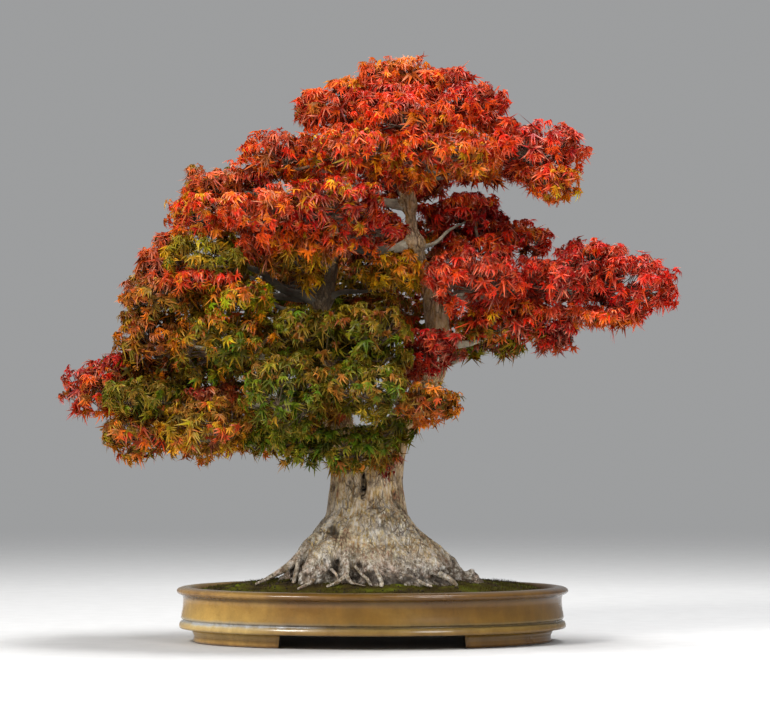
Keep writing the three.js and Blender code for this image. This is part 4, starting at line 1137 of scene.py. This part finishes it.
def make_pad(name, material, twigs, random):
    """The leaves of one pad, whose twigs go to a Soup of their own"""
    soup = Soup()
    previous = branch_path(PADS[name]["branch"])[-1, :3]
    for clump, looks in leaf_clumps(name):
        others = [other for pad in PADS for other, _ in leaf_clumps(pad) if other != clump]
        tips, normals, depths, clears = clump_tips(clump, others, random)
        if not len(tips):
            continue
        hub = np.array(clump[:3]) - (0, 0, clump[5] * 0.3)
        add_tube(twigs, bent_path(previous, hub, *CLUMP_TWIG, 5, 4), 5)
        previous = hub
        targets = hub + golden_directions(BOUGHS_PER_CLUMP, random) * np.array(clump[3:]) * (0.6, 0.6, 0.3)
        targets[:, 2] = np.maximum(targets[:, 2], hub[2] - 4)
        boughs = [bent_path(hub, target, *BOUGH, 4, 7) for target in targets]
        for bough in boughs:
            add_tube(twigs, bough, 3, cap=False)
        joints = np.array([bough[-1, :3] for bough in boughs])
        nearest = np.argmin(np.linalg.norm(tips[:, None] - joints[None], axis=2), axis=1)
        starts = joints[nearest]
        for start, tip in zip(starts, tips):
            add_tube(twigs, bent_path(start, tip, *FINE_TWIG, 2, 0), 3, cap=False)
        foot, centre, along, across, face, depth, index = leaf_frames(tips, starts, normals, depths, random)
        clear = clears[index]
        # Painted shade: leaves deep in the clump and shut in from the open air are darker
        painted_shade_dim = (1 - 0.3 * depth) * smooth_step(clear, -0.3, 0.4)
        shades = leaf_shades(looks, centre, clump, painted_shade_dim, random)
        detail = sum(1 * ((depth < deepest) & (clear > least)) for deepest, least in DETAIL_LEVELS)
        for level in range(len(DETAIL_LEVELS) + 1):
            chosen = detail == level
            frames = [values[chosen] for values in (foot, centre, along, across, face)]
            add_leaves(soup, frames, shades[chosen], level, random)
    return mesh_object("leaves_" + name.removeprefix("pad_"), soup, material)


# Materials, whose coordinates are in metres
def new_tree(name):
    """A material without nodes, and its node tree"""
    material = bpy.data.materials.new(name)
    material.use_nodes = True
    material.node_tree.nodes.clear()
    return material, material.node_tree


def node(tree, kind, inputs=None, **settings):
    """Adds a shader node. Each input is a number, a colour or the socket that feeds it."""
    made = tree.nodes.new("ShaderNode" + kind)
    for key, value in settings.items():
        setattr(made, key, value)
    for key, value in (inputs or {}).items():
        if isinstance(value, bpy.types.NodeSocket):
            tree.links.new(value, made.inputs[key])
        else:
            made.inputs[key].default_value = value
    return made


def rgba(colour):
    """A colour as nodes take it"""
    return (*linear(colour), 1)


def ramp(tree, factor, stops):
    """A colour ramp through (position, colour) stops"""
    made = node(tree, "ValToRGB", {"Fac": factor})
    elements = made.color_ramp.elements
    while len(elements) < len(stops):
        elements.new(0.5)
    for element, (position, colour) in zip(elements, stops):
        element.position = position
        element.color = colour if isinstance(colour, tuple) else rgba(colour)
    return made.outputs["Color"]


def grey(value):
    return (value, value, value, 1)


def greys(tree, factor, *stops):
    """A ramp through (position, grey value) stops"""
    return ramp(tree, factor, [(position, grey(value)) for position, value in stops])


def mix(tree, factor, a, b, blend="MIX"):
    """Colour b laid over colour a"""
    made = tree.nodes.new("ShaderNodeMix")
    made.data_type, made.blend_type = "RGBA", blend
    for index, value in ((0, factor), (6, a), (7, b)):
        if isinstance(value, bpy.types.NodeSocket):
            tree.links.new(value, made.inputs[index])
        else:
            made.inputs[index].default_value = value
    return made.outputs[2]


def overlay(tree, amount, colour, factor, *stops):
    """A colour made darker and lighter by a ramp of greys"""
    return mix(tree, amount, colour, greys(tree, factor, *stops), "OVERLAY")


def math_node(tree, operation, a, b=0.0):
    return node(tree, "Math", {0: a, 1: b}, operation=operation).outputs[0]


def times(tree, a, b):
    return math_node(tree, "MULTIPLY", a, b)


def remap(tree, value, before, after=(0.0, 1.0)):
    """A value moved from one range to another"""
    limits = {"From Min": before[0], "From Max": before[1], "To Min": after[0], "To Max": after[1]}
    return node(tree, "MapRange", {"Value": value, **limits}).outputs[0]


def axis(tree, name):
    """X, Y or Z of the object's own coordinates"""
    place = node(tree, "TexCoord").outputs["Object"]
    return node(tree, "SeparateXYZ", {"Vector": place}).outputs[name]


def mapped(tree, scale=(1, 1, 1)):
    """Coordinates in the object's own metres, scaled"""
    place = node(tree, "TexCoord").outputs["Object"]
    return node(tree, "Mapping", {"Vector": place, "Scale": scale}).outputs["Vector"]


def noise(tree, vector, scale, detail=4.0, roughness=0.55, distortion=0.0):
    """Cloudy values from 0 to 1"""
    inputs = {"Vector": vector, "Scale": scale, "Detail": detail, "Roughness": roughness}
    inputs["Distortion"] = distortion
    return node(tree, "TexNoise", inputs).outputs["Fac"]


def finish(tree, colour, roughness, bump=None, strength=0.4, distance=0.001, **constants):
    """A Principled shader on the output. Constants are set on its own sockets."""
    inputs = {"Base Color": colour, "Roughness": roughness, **constants}
    shader = node(tree, "BsdfPrincipled", inputs)
    if bump is not None:
        relief = node(tree, "Bump", {"Height": bump, "Strength": strength, "Distance": distance})
        tree.links.new(relief.outputs["Normal"], shader.inputs["Normal"])
    output = node(tree, "OutputMaterial")
    tree.links.new(shader.outputs[0], output.inputs["Surface"])
    return shader, output


def leaf_material(name):
    """A thin leaf: its own colour from the mesh, a pale rib on each lobe, and light that comes through"""
    material, tree = new_tree(name)
    shade = node(tree, "Attribute", attribute_name="shade").outputs["Color"]
    blade = node(tree, "Attribute", attribute_name="blade").outputs["Vector"]
    parts = node(tree, "SeparateXYZ", {"Vector": blade})
    side = math_node(tree, "ABSOLUTE", parts.outputs["X"])
    rib = greys(tree, side, (0.0, 1), (0.16, 0.1), (0.4, 0))
    spots = mapped(tree)
    blotch = noise(tree, spots, 260, 3)
    colour = overlay(tree, 0.5, shade, blotch, (0.3, 0.35), (0.7, 0.65))
    pale = mix(tree, 1.0, colour, grey(1.35), "MULTIPLY")
    colour = mix(tree, times(tree, rib, 0.55), colour, pale)
    rough = remap(tree, blotch, (0, 1), (0.24, 0.42))
    vein = noise(tree, spots, 900, 2)
    shader, output = finish(tree, colour, rough, vein, 0.25, 0.0006, **{"Specular IOR Level": 0.12})
    lit = node(tree, "HueSaturation", {"Saturation": 1.15, "Value": 1.1, "Color": colour})
    through = node(tree, "BsdfTranslucent", {"Color": lit.outputs["Color"]})
    both = node(tree, "MixShader", {0: 0.3, 1: shader.outputs[0], 2: through.outputs[0]})
    tree.links.new(both.outputs[0], output.inputs["Surface"])
    return material


def warped(tree, vector, scale, amount):
    """Coordinates pushed about by a noise"""
    push = node(tree, "TexNoise", {"Vector": vector, "Scale": scale, "Detail": 2.0})
    inputs = {0: push.outputs["Color"], 1: (amount, amount, amount), 2: vector}
    return node(tree, "VectorMath", inputs, operation="MULTIPLY_ADD").outputs["Vector"]


def cells(tree, vector, scale, feature="F1"):
    """Distances to the middles of random cells, or to their edges"""
    inputs = {"Vector": vector, "Scale": scale}
    return node(tree, "TexVoronoi", inputs, feature=feature).outputs["Distance"]


def cracks(tree, vector, scale, width, strength=1.0):
    """The strength on the thin edges between cells, 0 inside them"""
    return greys(tree, cells(tree, vector, scale, "DISTANCE_TO_EDGE"), (0.0, strength), (width, 0))


def bark_material():
    """Pale bark with a net of brown fissures, rough and mottled at the base"""
    material, tree = new_tree("bark")
    shade = node(tree, "Attribute", attribute_name="shade").outputs["Color"]
    parts = node(tree, "SeparateColor", {"Color": shade})
    depth, base, gloom = (parts.outputs[i] for i in range(3))
    spots = mapped(tree)
    tall = mapped(tree, (1, 1, 0.3))
    height = axis(tree, "Z")
    # Broad tones and upright streaks, browner on the stems
    broad = noise(tree, spots, 24, 5, 0.65)
    colour = ramp(tree, broad, [(0.3, "#a78f6c"), (0.42, "#d8c29c"), (0.54, "#f4e5c8"), (0.7, "#fff7e6")])
    streak = noise(tree, mapped(tree, (1, 1, 0.18)), 260, 6, 0.72, 0.3)
    colour = overlay(tree, 0.9, colour, streak, (0.38, 0.08), (0.5, 0.5), (0.6, 0.8))
    colour = mix(tree, remap(tree, height, (0.15, 0.225)), colour, rgba("#e3cdb0"), "MULTIPLY")
    tan = greys(tree, noise(tree, tall, 75, 4, 0.6), (0.46, 0), (0.64, 0.45))
    colour = mix(tree, tan, colour, rgba("#a2805c"))
    # A wide and a fine net of cracks, in patches
    bent = warped(tree, tall, 90, 0.006)
    fine_net = times(tree, cracks(tree, bent, 270, 0.1), 0.75)
    patches = greys(tree, noise(tree, spots, 55, 3), (0.38, 0), (0.56, 1))
    crack = math_node(tree, "MAXIMUM", cracks(tree, bent, 130, 0.11), fine_net)
    crack = times(tree, crack, patches)
    # The base: mottled, pink in places, with pits and blots that are darker near the moss
    mottle = noise(tree, spots, 230, 6, 0.78)
    stops = [(0.36, "#2b241e"), (0.44, "#8d8072"), (0.51, "#d6ccbd"), (0.6, "#fbf8f2")]
    pink = greys(tree, noise(tree, spots, 60, 4, 0.7), (0.48, 0), (0.62, 0.55))
    rough_base = mix(tree, pink, ramp(tree, mottle, stops), rgba("#cba18d"))
    pits = greys(tree, cells(tree, warped(tree, spots, 60, 0.012), 150), (0.12, 0.9), (0.34, 0))
    low = remap(tree, height, (0.103, 0.085))
    blots = noise(tree, mapped(tree, (1, 1, 1.4)), 85, 4, 0.7)
    blots = math_node(tree, "SUBTRACT", blots, times(tree, low, 0.07))
    dark = greys(tree, blots, (0.38, 0.9), (0.47, 0))
    dark = math_node(tree, "MAXIMUM", dark, times(tree, pits, patches))
    rough_base = mix(tree, dark, rough_base, rgba("#41382f"))
    colour = mix(tree, times(tree, base, 0.85), colour, rough_base)
    # Earth-brown in the fissures, painted shade in the hollows and the dark patches between the roots, and
    # the crown's painted shade
    less = math_node(tree, "SUBTRACT", 0.85, times(tree, base, 0.5))
    furrow_and_shade = math_node(tree, "MAXIMUM", times(tree, crack, less), depth)
    earth = ramp(tree, depth, [(0.3, "#5e4127"), (0.7, "#463422"), (0.95, "#1a130d")])
    colour = mix(tree, furrow_and_shade, colour, earth)
    colour = mix(tree, times(tree, gloom, 0.9), colour, rgba("#2c251b"))
    bump = math_node(tree, "SUBTRACT", streak, times(tree, crack, 0.7))
    bump = math_node(tree, "ADD", bump, times(tree, mottle, base))
    bump = math_node(tree, "SUBTRACT", bump, times(tree, times(tree, pits, base), 0.8))
    finish(tree, colour, 0.8, bump, 1.0, 0.0032)
    return material


def branch_material():
    """Grey-brown bark, dark where the crown shades it"""
    material, tree = new_tree("branch_bark")
    gloom = node(tree, "Attribute", attribute_name="shade").outputs["Fac"]
    spots = mapped(tree)
    patch = noise(tree, spots, 70, 4)
    colour = ramp(tree, patch, [(0.3, "#6f6553"), (0.5, "#a39982"), (0.7, "#c5bda6")])
    grain = noise(tree, spots, 500, 4, 0.65)
    colour = overlay(tree, 0.5, colour, grain, (0.3, 0.28), (0.7, 0.68))
    colour = mix(tree, times(tree, gloom, 0.92), colour, rgba("#29231a"))
    finish(tree, colour, 0.72, grain, 0.5, 0.001)
    return material


def twig_material():
    """Brown bark of the fine twigs"""
    material, tree = new_tree("twig_bark")
    spots = mapped(tree)
    patch = noise(tree, spots, 120, 3)
    colour = ramp(tree, patch, [(0.35, "#35261c"), (0.55, "#5c4836"), (0.7, "#7d6a52")])
    finish(tree, colour, 0.7, noise(tree, spots, 700, 3), 0.4, 0.0006)
    return material


def glaze_material():
    """Brown-mottled ochre glaze, blue-grey pools over the bead, painted shade under the lip, painted light
    at the left
    """
    material, tree = new_tree("ochre_glaze")
    spots = mapped(tree)
    drip = mapped(tree, (1, 1, 0.35))
    cloud = noise(tree, spots, 16, 5, 0.6, 0.6)
    colour = ramp(tree, cloud, [(0.28, "#6d4a1c"), (0.45, "#8c672b"), (0.6, "#a07c3b"), (0.75, "#b9975a")])
    colour = overlay(tree, 0.45, colour, noise(tree, spots, 240, 4, 0.7), (0.32, 0.3), (0.66, 0.62))
    # Uneven bands from the foot to the rim, with painted shade in the groove and under the lip
    run = noise(tree, drip, 60, 4, 0.6)
    wobble = times(tree, math_node(tree, "SUBTRACT", run, 0.5), 0.006)
    level = remap(tree, math_node(tree, "ADD", axis(tree, "Z"), wobble), (0, RIM_TOP * MM))
    zone = ramp(tree, level, [
        (0.0, "#6e4624"), (0.06, "#8e6632"), (0.2, "#a08048"), (0.3, "#ab8c58"), (0.36, "#a59470"),
        # The groove over the bead: blue-grey glaze, darkened with painted shade
        (0.378, "#5c6264"), (0.4, "#3a4042"), (0.425, "#8c8068"), (0.48, "#9a773c"), (0.78, "#86602a"),
        # Painted shade under the lip
        (0.84, "#3e2913"), (0.88, "#6a4827"), (0.95, "#7a5832"), (1.0, "#584420"),
    ])
    colour = mix(tree, 0.62, colour, zone)
    # Painted light and shade: paler and cooler at the left end, where the light falls, darker and warmer to
    # the right
    across = remap(tree, axis(tree, "X"), (-0.24, 0.2))
    lean = ramp(tree, across, [
        (0.0, (0.86, 0.95, 1, 1)), (0.13, (0.8, 0.9, 1, 1)), (0.3, (0.39, 0.37, 0.33, 1)),
        (0.55, (0.25, 0.22, 0.1, 1)), (1.0, (0.235, 0.2, 0.07, 1)),
    ])
    colour = mix(tree, 0.9, colour, lean, "OVERLAY")
    colour = overlay(tree, 0.5, colour, run, (0.36, 0.36), (0.64, 0.62))
    # The pale pool of glaze over the bead, broken along its length, with a painted highlight at the left
    # end
    pool_and_highlight = greys(tree, level, (0.34, 0), (0.385, 1), (0.43, 0.15), (0.47, 0))
    highlit_end = greys(tree, across, (0.0, 0.75), (0.32, 0.6), (0.42, 0))
    broken = greys(tree, run, (0.4, 0.3), (0.58, 1))
    pool_and_highlight = times(tree, times(tree, pool_and_highlight, highlit_end), broken)
    colour = mix(tree, pool_and_highlight, colour, rgba("#c4cbd0"))
    crackle = cracks(tree, spots, 260, 0.035, 0.25)
    colour = mix(tree, crackle, colour, rgba("#5b4322"))
    rough = remap(tree, cloud, (0, 1), (0.2, 0.38))
    gloss = {"Coat Weight": 0.4, "Coat Roughness": 0.1, "Specular IOR Level": 0.3}
    finish(tree, colour, rough, noise(tree, drip, 90, 3), 0.16, 0.0012, **gloss)
    return material


def moss_material():
    """Moss from brown to yellow-green, flecked"""
    material, tree = new_tree("moss_green")
    spots = mapped(tree)
    patch = noise(tree, spots, 26, 4, 0.6)
    colour = ramp(tree, patch, [(0.34, "#2e2310"), (0.46, "#423812"), (0.58, "#525010"), (0.7, "#6f7d18")])
    fleck = noise(tree, spots, 700, 3, 0.7)
    colour = overlay(tree, 0.6, colour, fleck, (0.3, 0.22), (0.7, 0.72))
    finish(tree, colour, 0.85, fleck, 0.8, 0.0015, **{"Specular IOR Level": 0.15})
    return material


def soil_material():
    """Dark granular earth"""
    material, tree = new_tree("dark_soil")
    spots = mapped(tree)
    grain = cells(tree, spots, 320)
    colour = ramp(tree, grain, [(0.0, "#5a4630"), (0.5, "#3a2b1c"), (0.9, "#1c140c")])
    broad = noise(tree, spots, 40, 4)
    colour = overlay(tree, 0.5, colour, broad, (0.3, 0.3), (0.7, 0.65))
    bump = math_node(tree, "SUBTRACT", 1.0, grain)
    finish(tree, colour, 0.9, bump, 0.9, 0.0025)
    return material


def screen_material():
    """Black plastic with a fine weave"""
    material, tree = new_tree("black_mesh")
    spots = mapped(tree)
    weave = node(tree, "TexWave", {"Vector": spots, "Scale": 160.0, "Distortion": 0.3})
    colour = ramp(tree, weave.outputs["Fac"], [(0.0, "#0d0f0d"), (1.0, "#242723")])
    finish(tree, colour, 0.55, weave.outputs["Fac"], 0.5, 0.0008)
    return material


def wire_material():
    """Soft drawn metal, scratched along its length"""
    material, tree = new_tree("drawn_wire")
    spots = mapped(tree)
    scratch = noise(tree, mapped(tree, (8, 1, 8)), 180, 3)
    colour = ramp(tree, scratch, [(0.3, "#8e9092"), (0.7, "#b9bbbd")])
    rough = remap(tree, noise(tree, spots, 90, 3), (0, 1), (0.3, 0.5))
    finish(tree, colour, rough, scratch, 0.2, 0.0003, Metallic=1.0)
    return material


# Pot, moss and soil
def oval(radius, angles):
    """x and y round an oval of the pot, whose half length is the radius"""
    return np.column_stack([radius * np.cos(angles), (radius - NARROWING) * np.sin(angles)])


def rounded(corners):
    """A profile whose inner corners are rounded off"""
    out = [corners[0]]
    for before, corner, after in zip(corners, corners[1:], corners[2:]):
        before, corner, after = map(np.array, (before, corner, after))
        nearer = min(np.linalg.norm(before - corner), np.linalg.norm(after - corner))
        cut = min(EDGE_RADIUS, nearer * 0.45)
        start = corner + unit(before - corner) * cut
        end = corner + unit(after - corner) * cut
        for t in (0.0, 0.5, 1.0):
            out.append(tuple((1 - t) ** 2 * start + 2 * t * (1 - t) * corner + t**2 * end))
    return out + [corners[-1]]


def make_pot(material):
    """The bowl, lathed to an oval, with its bracket feet and the holes in its floor"""
    angles = turns(POT_SEGMENTS)
    profile = rounded(POT_PROFILE)
    rings = [np.column_stack([oval(radius, angles), np.full(POT_SEGMENTS, z)]) for radius, z in profile]
    flat = oval(FOOT_INNER, angles)
    under, over = (
        [np.column_stack([flat * share, np.full(POT_SEGMENTS, level)]) for share in (0.5, 0.02)]
        for level in (FOOT_HEIGHT, FLOOR_TOP)
    )
    points = np.vstack(under[::-1] + rings + over)
    points[:, 2] += 0.25 * value_noise(points, 40, 71) * (points[:, 2] > 18)
    points[:, :2] *= 1 + 0.0009 * value_noise(points, 46, 72)[:, None]
    quads = ring_quads(len(points) // POT_SEGMENTS, POT_SEGMENTS)
    bottom = ring_fan(0, POT_SEGMENTS, len(points), inward=True)
    top = ring_fan(len(points) - POT_SEGMENTS, POT_SEGMENTS, len(points) + 1)
    soup = Soup()
    soup.add(np.vstack([points, (0, 0, FOOT_HEIGHT), (0, 0, FLOOR_TOP)]), quads, bottom, top)
    pot = mesh_object("glazed_pot", soup, material)
    cut_holes(pot)
    feet = Soup()
    for turn in (0, 180):
        add_foot(feet, turn + FOOT_FROM_DEG, turn + FOOT_TO_DEG)
        add_foot(feet, turn - FOOT_TO_DEG, turn - FOOT_FROM_DEG)
    stand = mesh_object("feet", feet, material)
    both = bmesh.new()
    both.from_mesh(pot.data)
    both.from_mesh(stand.data)
    both.to_mesh(pot.data)
    both.free()
    bpy.data.objects.remove(stand)
    return pot


def add_foot(soup, from_deg, to_deg):
    """A bracket foot: an arc of the oval with rounded edges, a little longer at the top"""
    section = rounded(FOOT_SECTION)
    steps = 26
    rings = []
    for i in range(steps + 1):
        share = i / steps
        flare = 0.5 * (2 * share - 1) ** 5
        ring = []
        for radius, z in section:
            slant = flare * (z / FOOT_HEIGHT - 0.5)
            angle = math.radians(from_deg + (to_deg - from_deg) * share + slant)
            x, y = oval(radius, np.array([angle]))[0]
            squared = float(smooth_step(abs(math.sin(angle)), 0.72, math.sin(math.radians(FOOT_TO_DEG))))
            x += (FOOT_OUTER * math.cos(angle) - x) * squared
            ring.append((x, y, z))
        rings.append(ring)
    sides = len(section)
    points = np.array(rings).reshape(-1, 3)
    quads = ring_quads(steps + 1, sides, inward=True)
    caps = []
    for base, flip in ((0, False), (steps * sides, True)):
        fan = [(base, base + i, base + i + 1) for i in range(1, sides - 1)]
        caps += [face[::-1] for face in fan] if flip else fan
    soup.add(points, quads, np.array(caps))


def cut_holes(pot):
    """Drain holes and wire holes through the floor"""
    soup = Soup()
    drains = [(side * DRAIN_X, 0, DRAIN_RADIUS) for side in (-1, 1)]
    wires = [(a * WIRE_X, b * WIRE_HALF_SPAN, WIRE_HOLE_RADIUS) for a in (-1, 1) for b in (-1, 1)]
    for x, y, radius in drains + wires:
        path = np.array([(x, y, 12, radius), (x, y, 20, radius), (x, y, 30, radius)], float)
        add_tube(soup, path, 24)
    drill = mesh_object("drill", soup, pot.data.materials[0])
    cut = pot.modifiers.new("holes", "BOOLEAN")
    cut.object, cut.operation, cut.solver = drill, "DIFFERENCE", "EXACT"
    bpy.context.view_layer.update()
    result = bpy.data.meshes.new_from_object(pot.evaluated_get(bpy.context.evaluated_depsgraph_get()))
    pot.modifiers.clear()
    pot.data = result
    bpy.data.objects.remove(drill)


def soil_height(share):
    """The height of the domed soil at a share of the way to the moss's edge"""
    return SOIL_EDGE_HEIGHT + SOIL_DOME * (1 - share * share)


def moss_surface(x, y):
    """The height of the moss at each point, which rises in low mounds"""
    share = np.sqrt((x / MOSS_EDGE) ** 2 + (y / MOSS_HALF_WIDTH) ** 2)
    flat = np.column_stack([x, y, np.zeros(len(x))])
    waves = [(2.6, 34, 81), (1.3, 13, 82), (0.6, 6, 83)]
    mounds = sum(height * value_noise(flat, size, seed) for height, size, seed in waves)
    edge = smooth_step(share, 0.9, 1.0)
    rise = 9 + 4.5 * smooth_step(y, 10, 140) * share + mounds * (1 - 0.5 * edge) - 3 * edge
    rise = rise + 4.5 * (1 - smooth_step(share, 0.62, 0.9))
    return soil_height(np.minimum(share, 1)) + rise


def moss_places(count, inner, outer, random):
    """x and y of random places on the moss. Its inner and outer limits are shares of the area."""
    turn = random.uniform(0, 2 * np.pi, count)
    reach = np.sqrt(random.uniform(inner, outer, count))
    return MOSS_EDGE * reach * np.cos(turn), MOSS_HALF_WIDTH * reach * np.sin(turn)


def make_moss(material, random):
    """A mossy mat with thousands of short blades"""
    rings, spokes = 46, 140
    angles = turns(spokes)
    flat = np.vstack([
        np.column_stack([MOSS_EDGE * share * np.cos(angles), MOSS_HALF_WIDTH * share * np.sin(angles)])
        for share in np.linspace(0.02, 1, rings)
    ])
    mat = np.column_stack([flat, moss_surface(flat[:, 0], flat[:, 1])])
    skirt = mat[-spokes:] - (0, 0, 3.5)
    soup = Soup()
    soup.add(np.vstack([mat, skirt]), ring_quads(rings + 1, spokes, inward=True))
    x, y = moss_places(MOSS_BLADES, 0.12, 0.99, random)
    z = moss_surface(x, y)
    foot = np.column_stack([x, y, z - 0.6])
    lush = smooth_step(value_noise(foot * (1, 1, 0), 24, 84), -0.5, 0.5)
    tall = (1.4 + 2.6 * lush) * random.uniform(0.6, 1.3, MOSS_BLADES)
    lean = random.normal(0, 0.45, (MOSS_BLADES, 2)) * tall[:, None]
    facing = random.uniform(0, np.pi, MOSS_BLADES)
    side = np.column_stack([np.cos(facing), np.sin(facing), np.zeros(MOSS_BLADES)])
    side = side * MOSS_BLADE_HALF_WIDTH
    tip = foot + np.column_stack([lean, tall])
    blades = np.stack([foot - side, foot + side, tip], axis=1).reshape(-1, 3)
    soup.add(blades, np.arange(MOSS_BLADES * 3).reshape(-1, 3))
    return mesh_object("moss_mat", soup, material)


def make_grains(material, random):
    """Loose soil grains between the roots and in the bare patches of the moss"""
    x, y = moss_places(SOIL_GRAINS, 0.1, 0.97, random)
    z = moss_surface(x, y)
    lush = value_noise(np.column_stack([x, y, x * 0]), 24, 84)
    bare = lush + random.normal(0, 0.2, SOIL_GRAINS) < -0.02
    corners = np.array(list(itertools.product((-1, 1), repeat=3)), float)
    faces = [(0, 1, 3, 2), (4, 6, 7, 5), (0, 4, 5, 1), (2, 3, 7, 6), (0, 2, 6, 4), (1, 5, 7, 3)]
    soup = Soup()
    for cx, cy, cz in np.column_stack([x, y, z])[bare]:
        size = random.uniform(0.7, 1.9)
        grain = unit(corners + random.normal(0, 0.25, corners.shape)) * size
        grain = grain * random.uniform(0.8, 1.2, (8, 1))
        soup.add(grain + (cx, cy, cz + size * 0.3), np.array(faces))
    return mesh_object("soil_grains", soup, material)


# Floor, light and camera
def make_floor():
    """A round pale floor that fades into the background"""
    rings, spokes = 24, 96
    angles = turns(spokes)
    round_once = np.column_stack([np.cos(angles), np.sin(angles)])
    radii = np.linspace(0, FLOOR_RADIUS, rings)[1:]
    rows = [np.column_stack([radius * round_once, np.full(spokes, FLOOR_LEVEL)]) for radius in radii]
    points = np.vstack([*rows, (0, 0, FLOOR_LEVEL)])
    quads = ring_quads(len(rows), spokes, inward=True)
    middle = ring_fan(0, spokes, len(points) - 1)
    material, tree = new_tree("pale_floor")
    spots = node(tree, "TexCoord").outputs["Object"]
    colour = greys(tree, noise(tree, spots, 30, 4), (0.3, 0.56), (0.7, 0.6))
    shader, output = finish(tree, colour, 0.8)
    away = node(tree, "VectorMath", {0: spots}, operation="LENGTH").outputs["Value"]
    fade = remap(tree, away, (1.3, 3.6))
    clear = node(tree, "BsdfTransparent")
    both = node(tree, "MixShader", {0: fade, 1: shader.outputs[0], 2: clear.outputs[0]})
    tree.links.new(both.outputs[0], output.inputs["Surface"])
    soup = Soup()
    soup.add(points, quads, middle)
    floor = mesh_object("floor", soup, material)


def add_light(name, spot, size, power, colour):
    """A round area light that faces LIGHT_AIM"""
    light = bpy.data.lights.new(name, "AREA")
    light.shape, light.size, light.energy, light.color = "DISK", size, power, colour
    made = bpy.data.objects.new(name, light)
    bpy.context.scene.collection.objects.link(made)
    made.location = spot
    x, y, z = (a - b for a, b in zip(LIGHT_AIM, spot))
    made.rotation_euler = (math.atan2(math.hypot(x, y), -z), 0, math.atan2(y, x) - math.pi / 2)


def make_stage():
    """Floor, even light from the sky, three lights and the camera"""
    make_floor()
    world = bpy.data.worlds.new("studio")
    bpy.context.scene.world = world
    world.use_nodes = True
    sky = world.node_tree.nodes["Background"].inputs
    sky["Color"].default_value = SKY_COLOUR
    sky["Strength"].default_value = SKY_STRENGTH
    for light in LIGHTS:
        add_light(*light)
    camera = bpy.data.objects.new("camera", bpy.data.cameras.new("camera"))
    bpy.context.scene.collection.objects.link(camera)
    camera.location = [value * MM for value in CAMERA_SPOT]
    camera.rotation_euler = (math.pi / 2, 0, 0)
    camera.data.sensor_width = SENSOR_WIDTH
    camera.data.lens = SENSOR_WIDTH * -CAMERA_SPOT[1] / CAMERA_FIELD_WIDTH
    bpy.context.scene.camera = camera
    bpy.context.scene.view_settings.view_transform = "Standard"


def dress(piece, slot, *replaced):
    """Rides a piece on the only body and hides the CAD nodes it stands for. The slot is not used."""
    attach(piece, "root")
    if replaced:
        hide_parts(*replaced)


def repaint(name, material):
    """A CAD node that stays gets its finish"""
    mesh = frame["nodes"][name].data
    mesh.materials.clear()
    mesh.materials.append(material)


make_stage()
slots = {part["node"]: part["material_slot"] for part in frame["record"]["subparts"]}

dress(make_trunk(bark_material()), "bark", "wood")
dress(make_branches(branch_material()), "bark")

twig_soup = Soup()
leaf_materials = {}
for pad_name in PADS:
    slot_name = slots[pad_name]
    if slot_name not in leaf_materials:
        leaf_materials[slot_name] = leaf_material(slot_name)
    leaves = make_pad(pad_name, leaf_materials[slot_name], twig_soup, random_for(pad_name))
    dress(leaves, slot_name, pad_name)
dress(mesh_object("twigs", twig_soup, twig_material()), "bark")

dress(make_pot(glaze_material()), "pot_glaze", "pot")
dress(make_moss(moss_material(), random_for("moss")), "moss", "moss")
earth = soil_material()
dress(make_grains(earth, random_for("grains")), "soil")
repaint("soil", earth)
for place in ("left", "right"):
    repaint("drain_screen_" + place, screen_material())
    repaint("anchor_wire_" + place, wire_material())
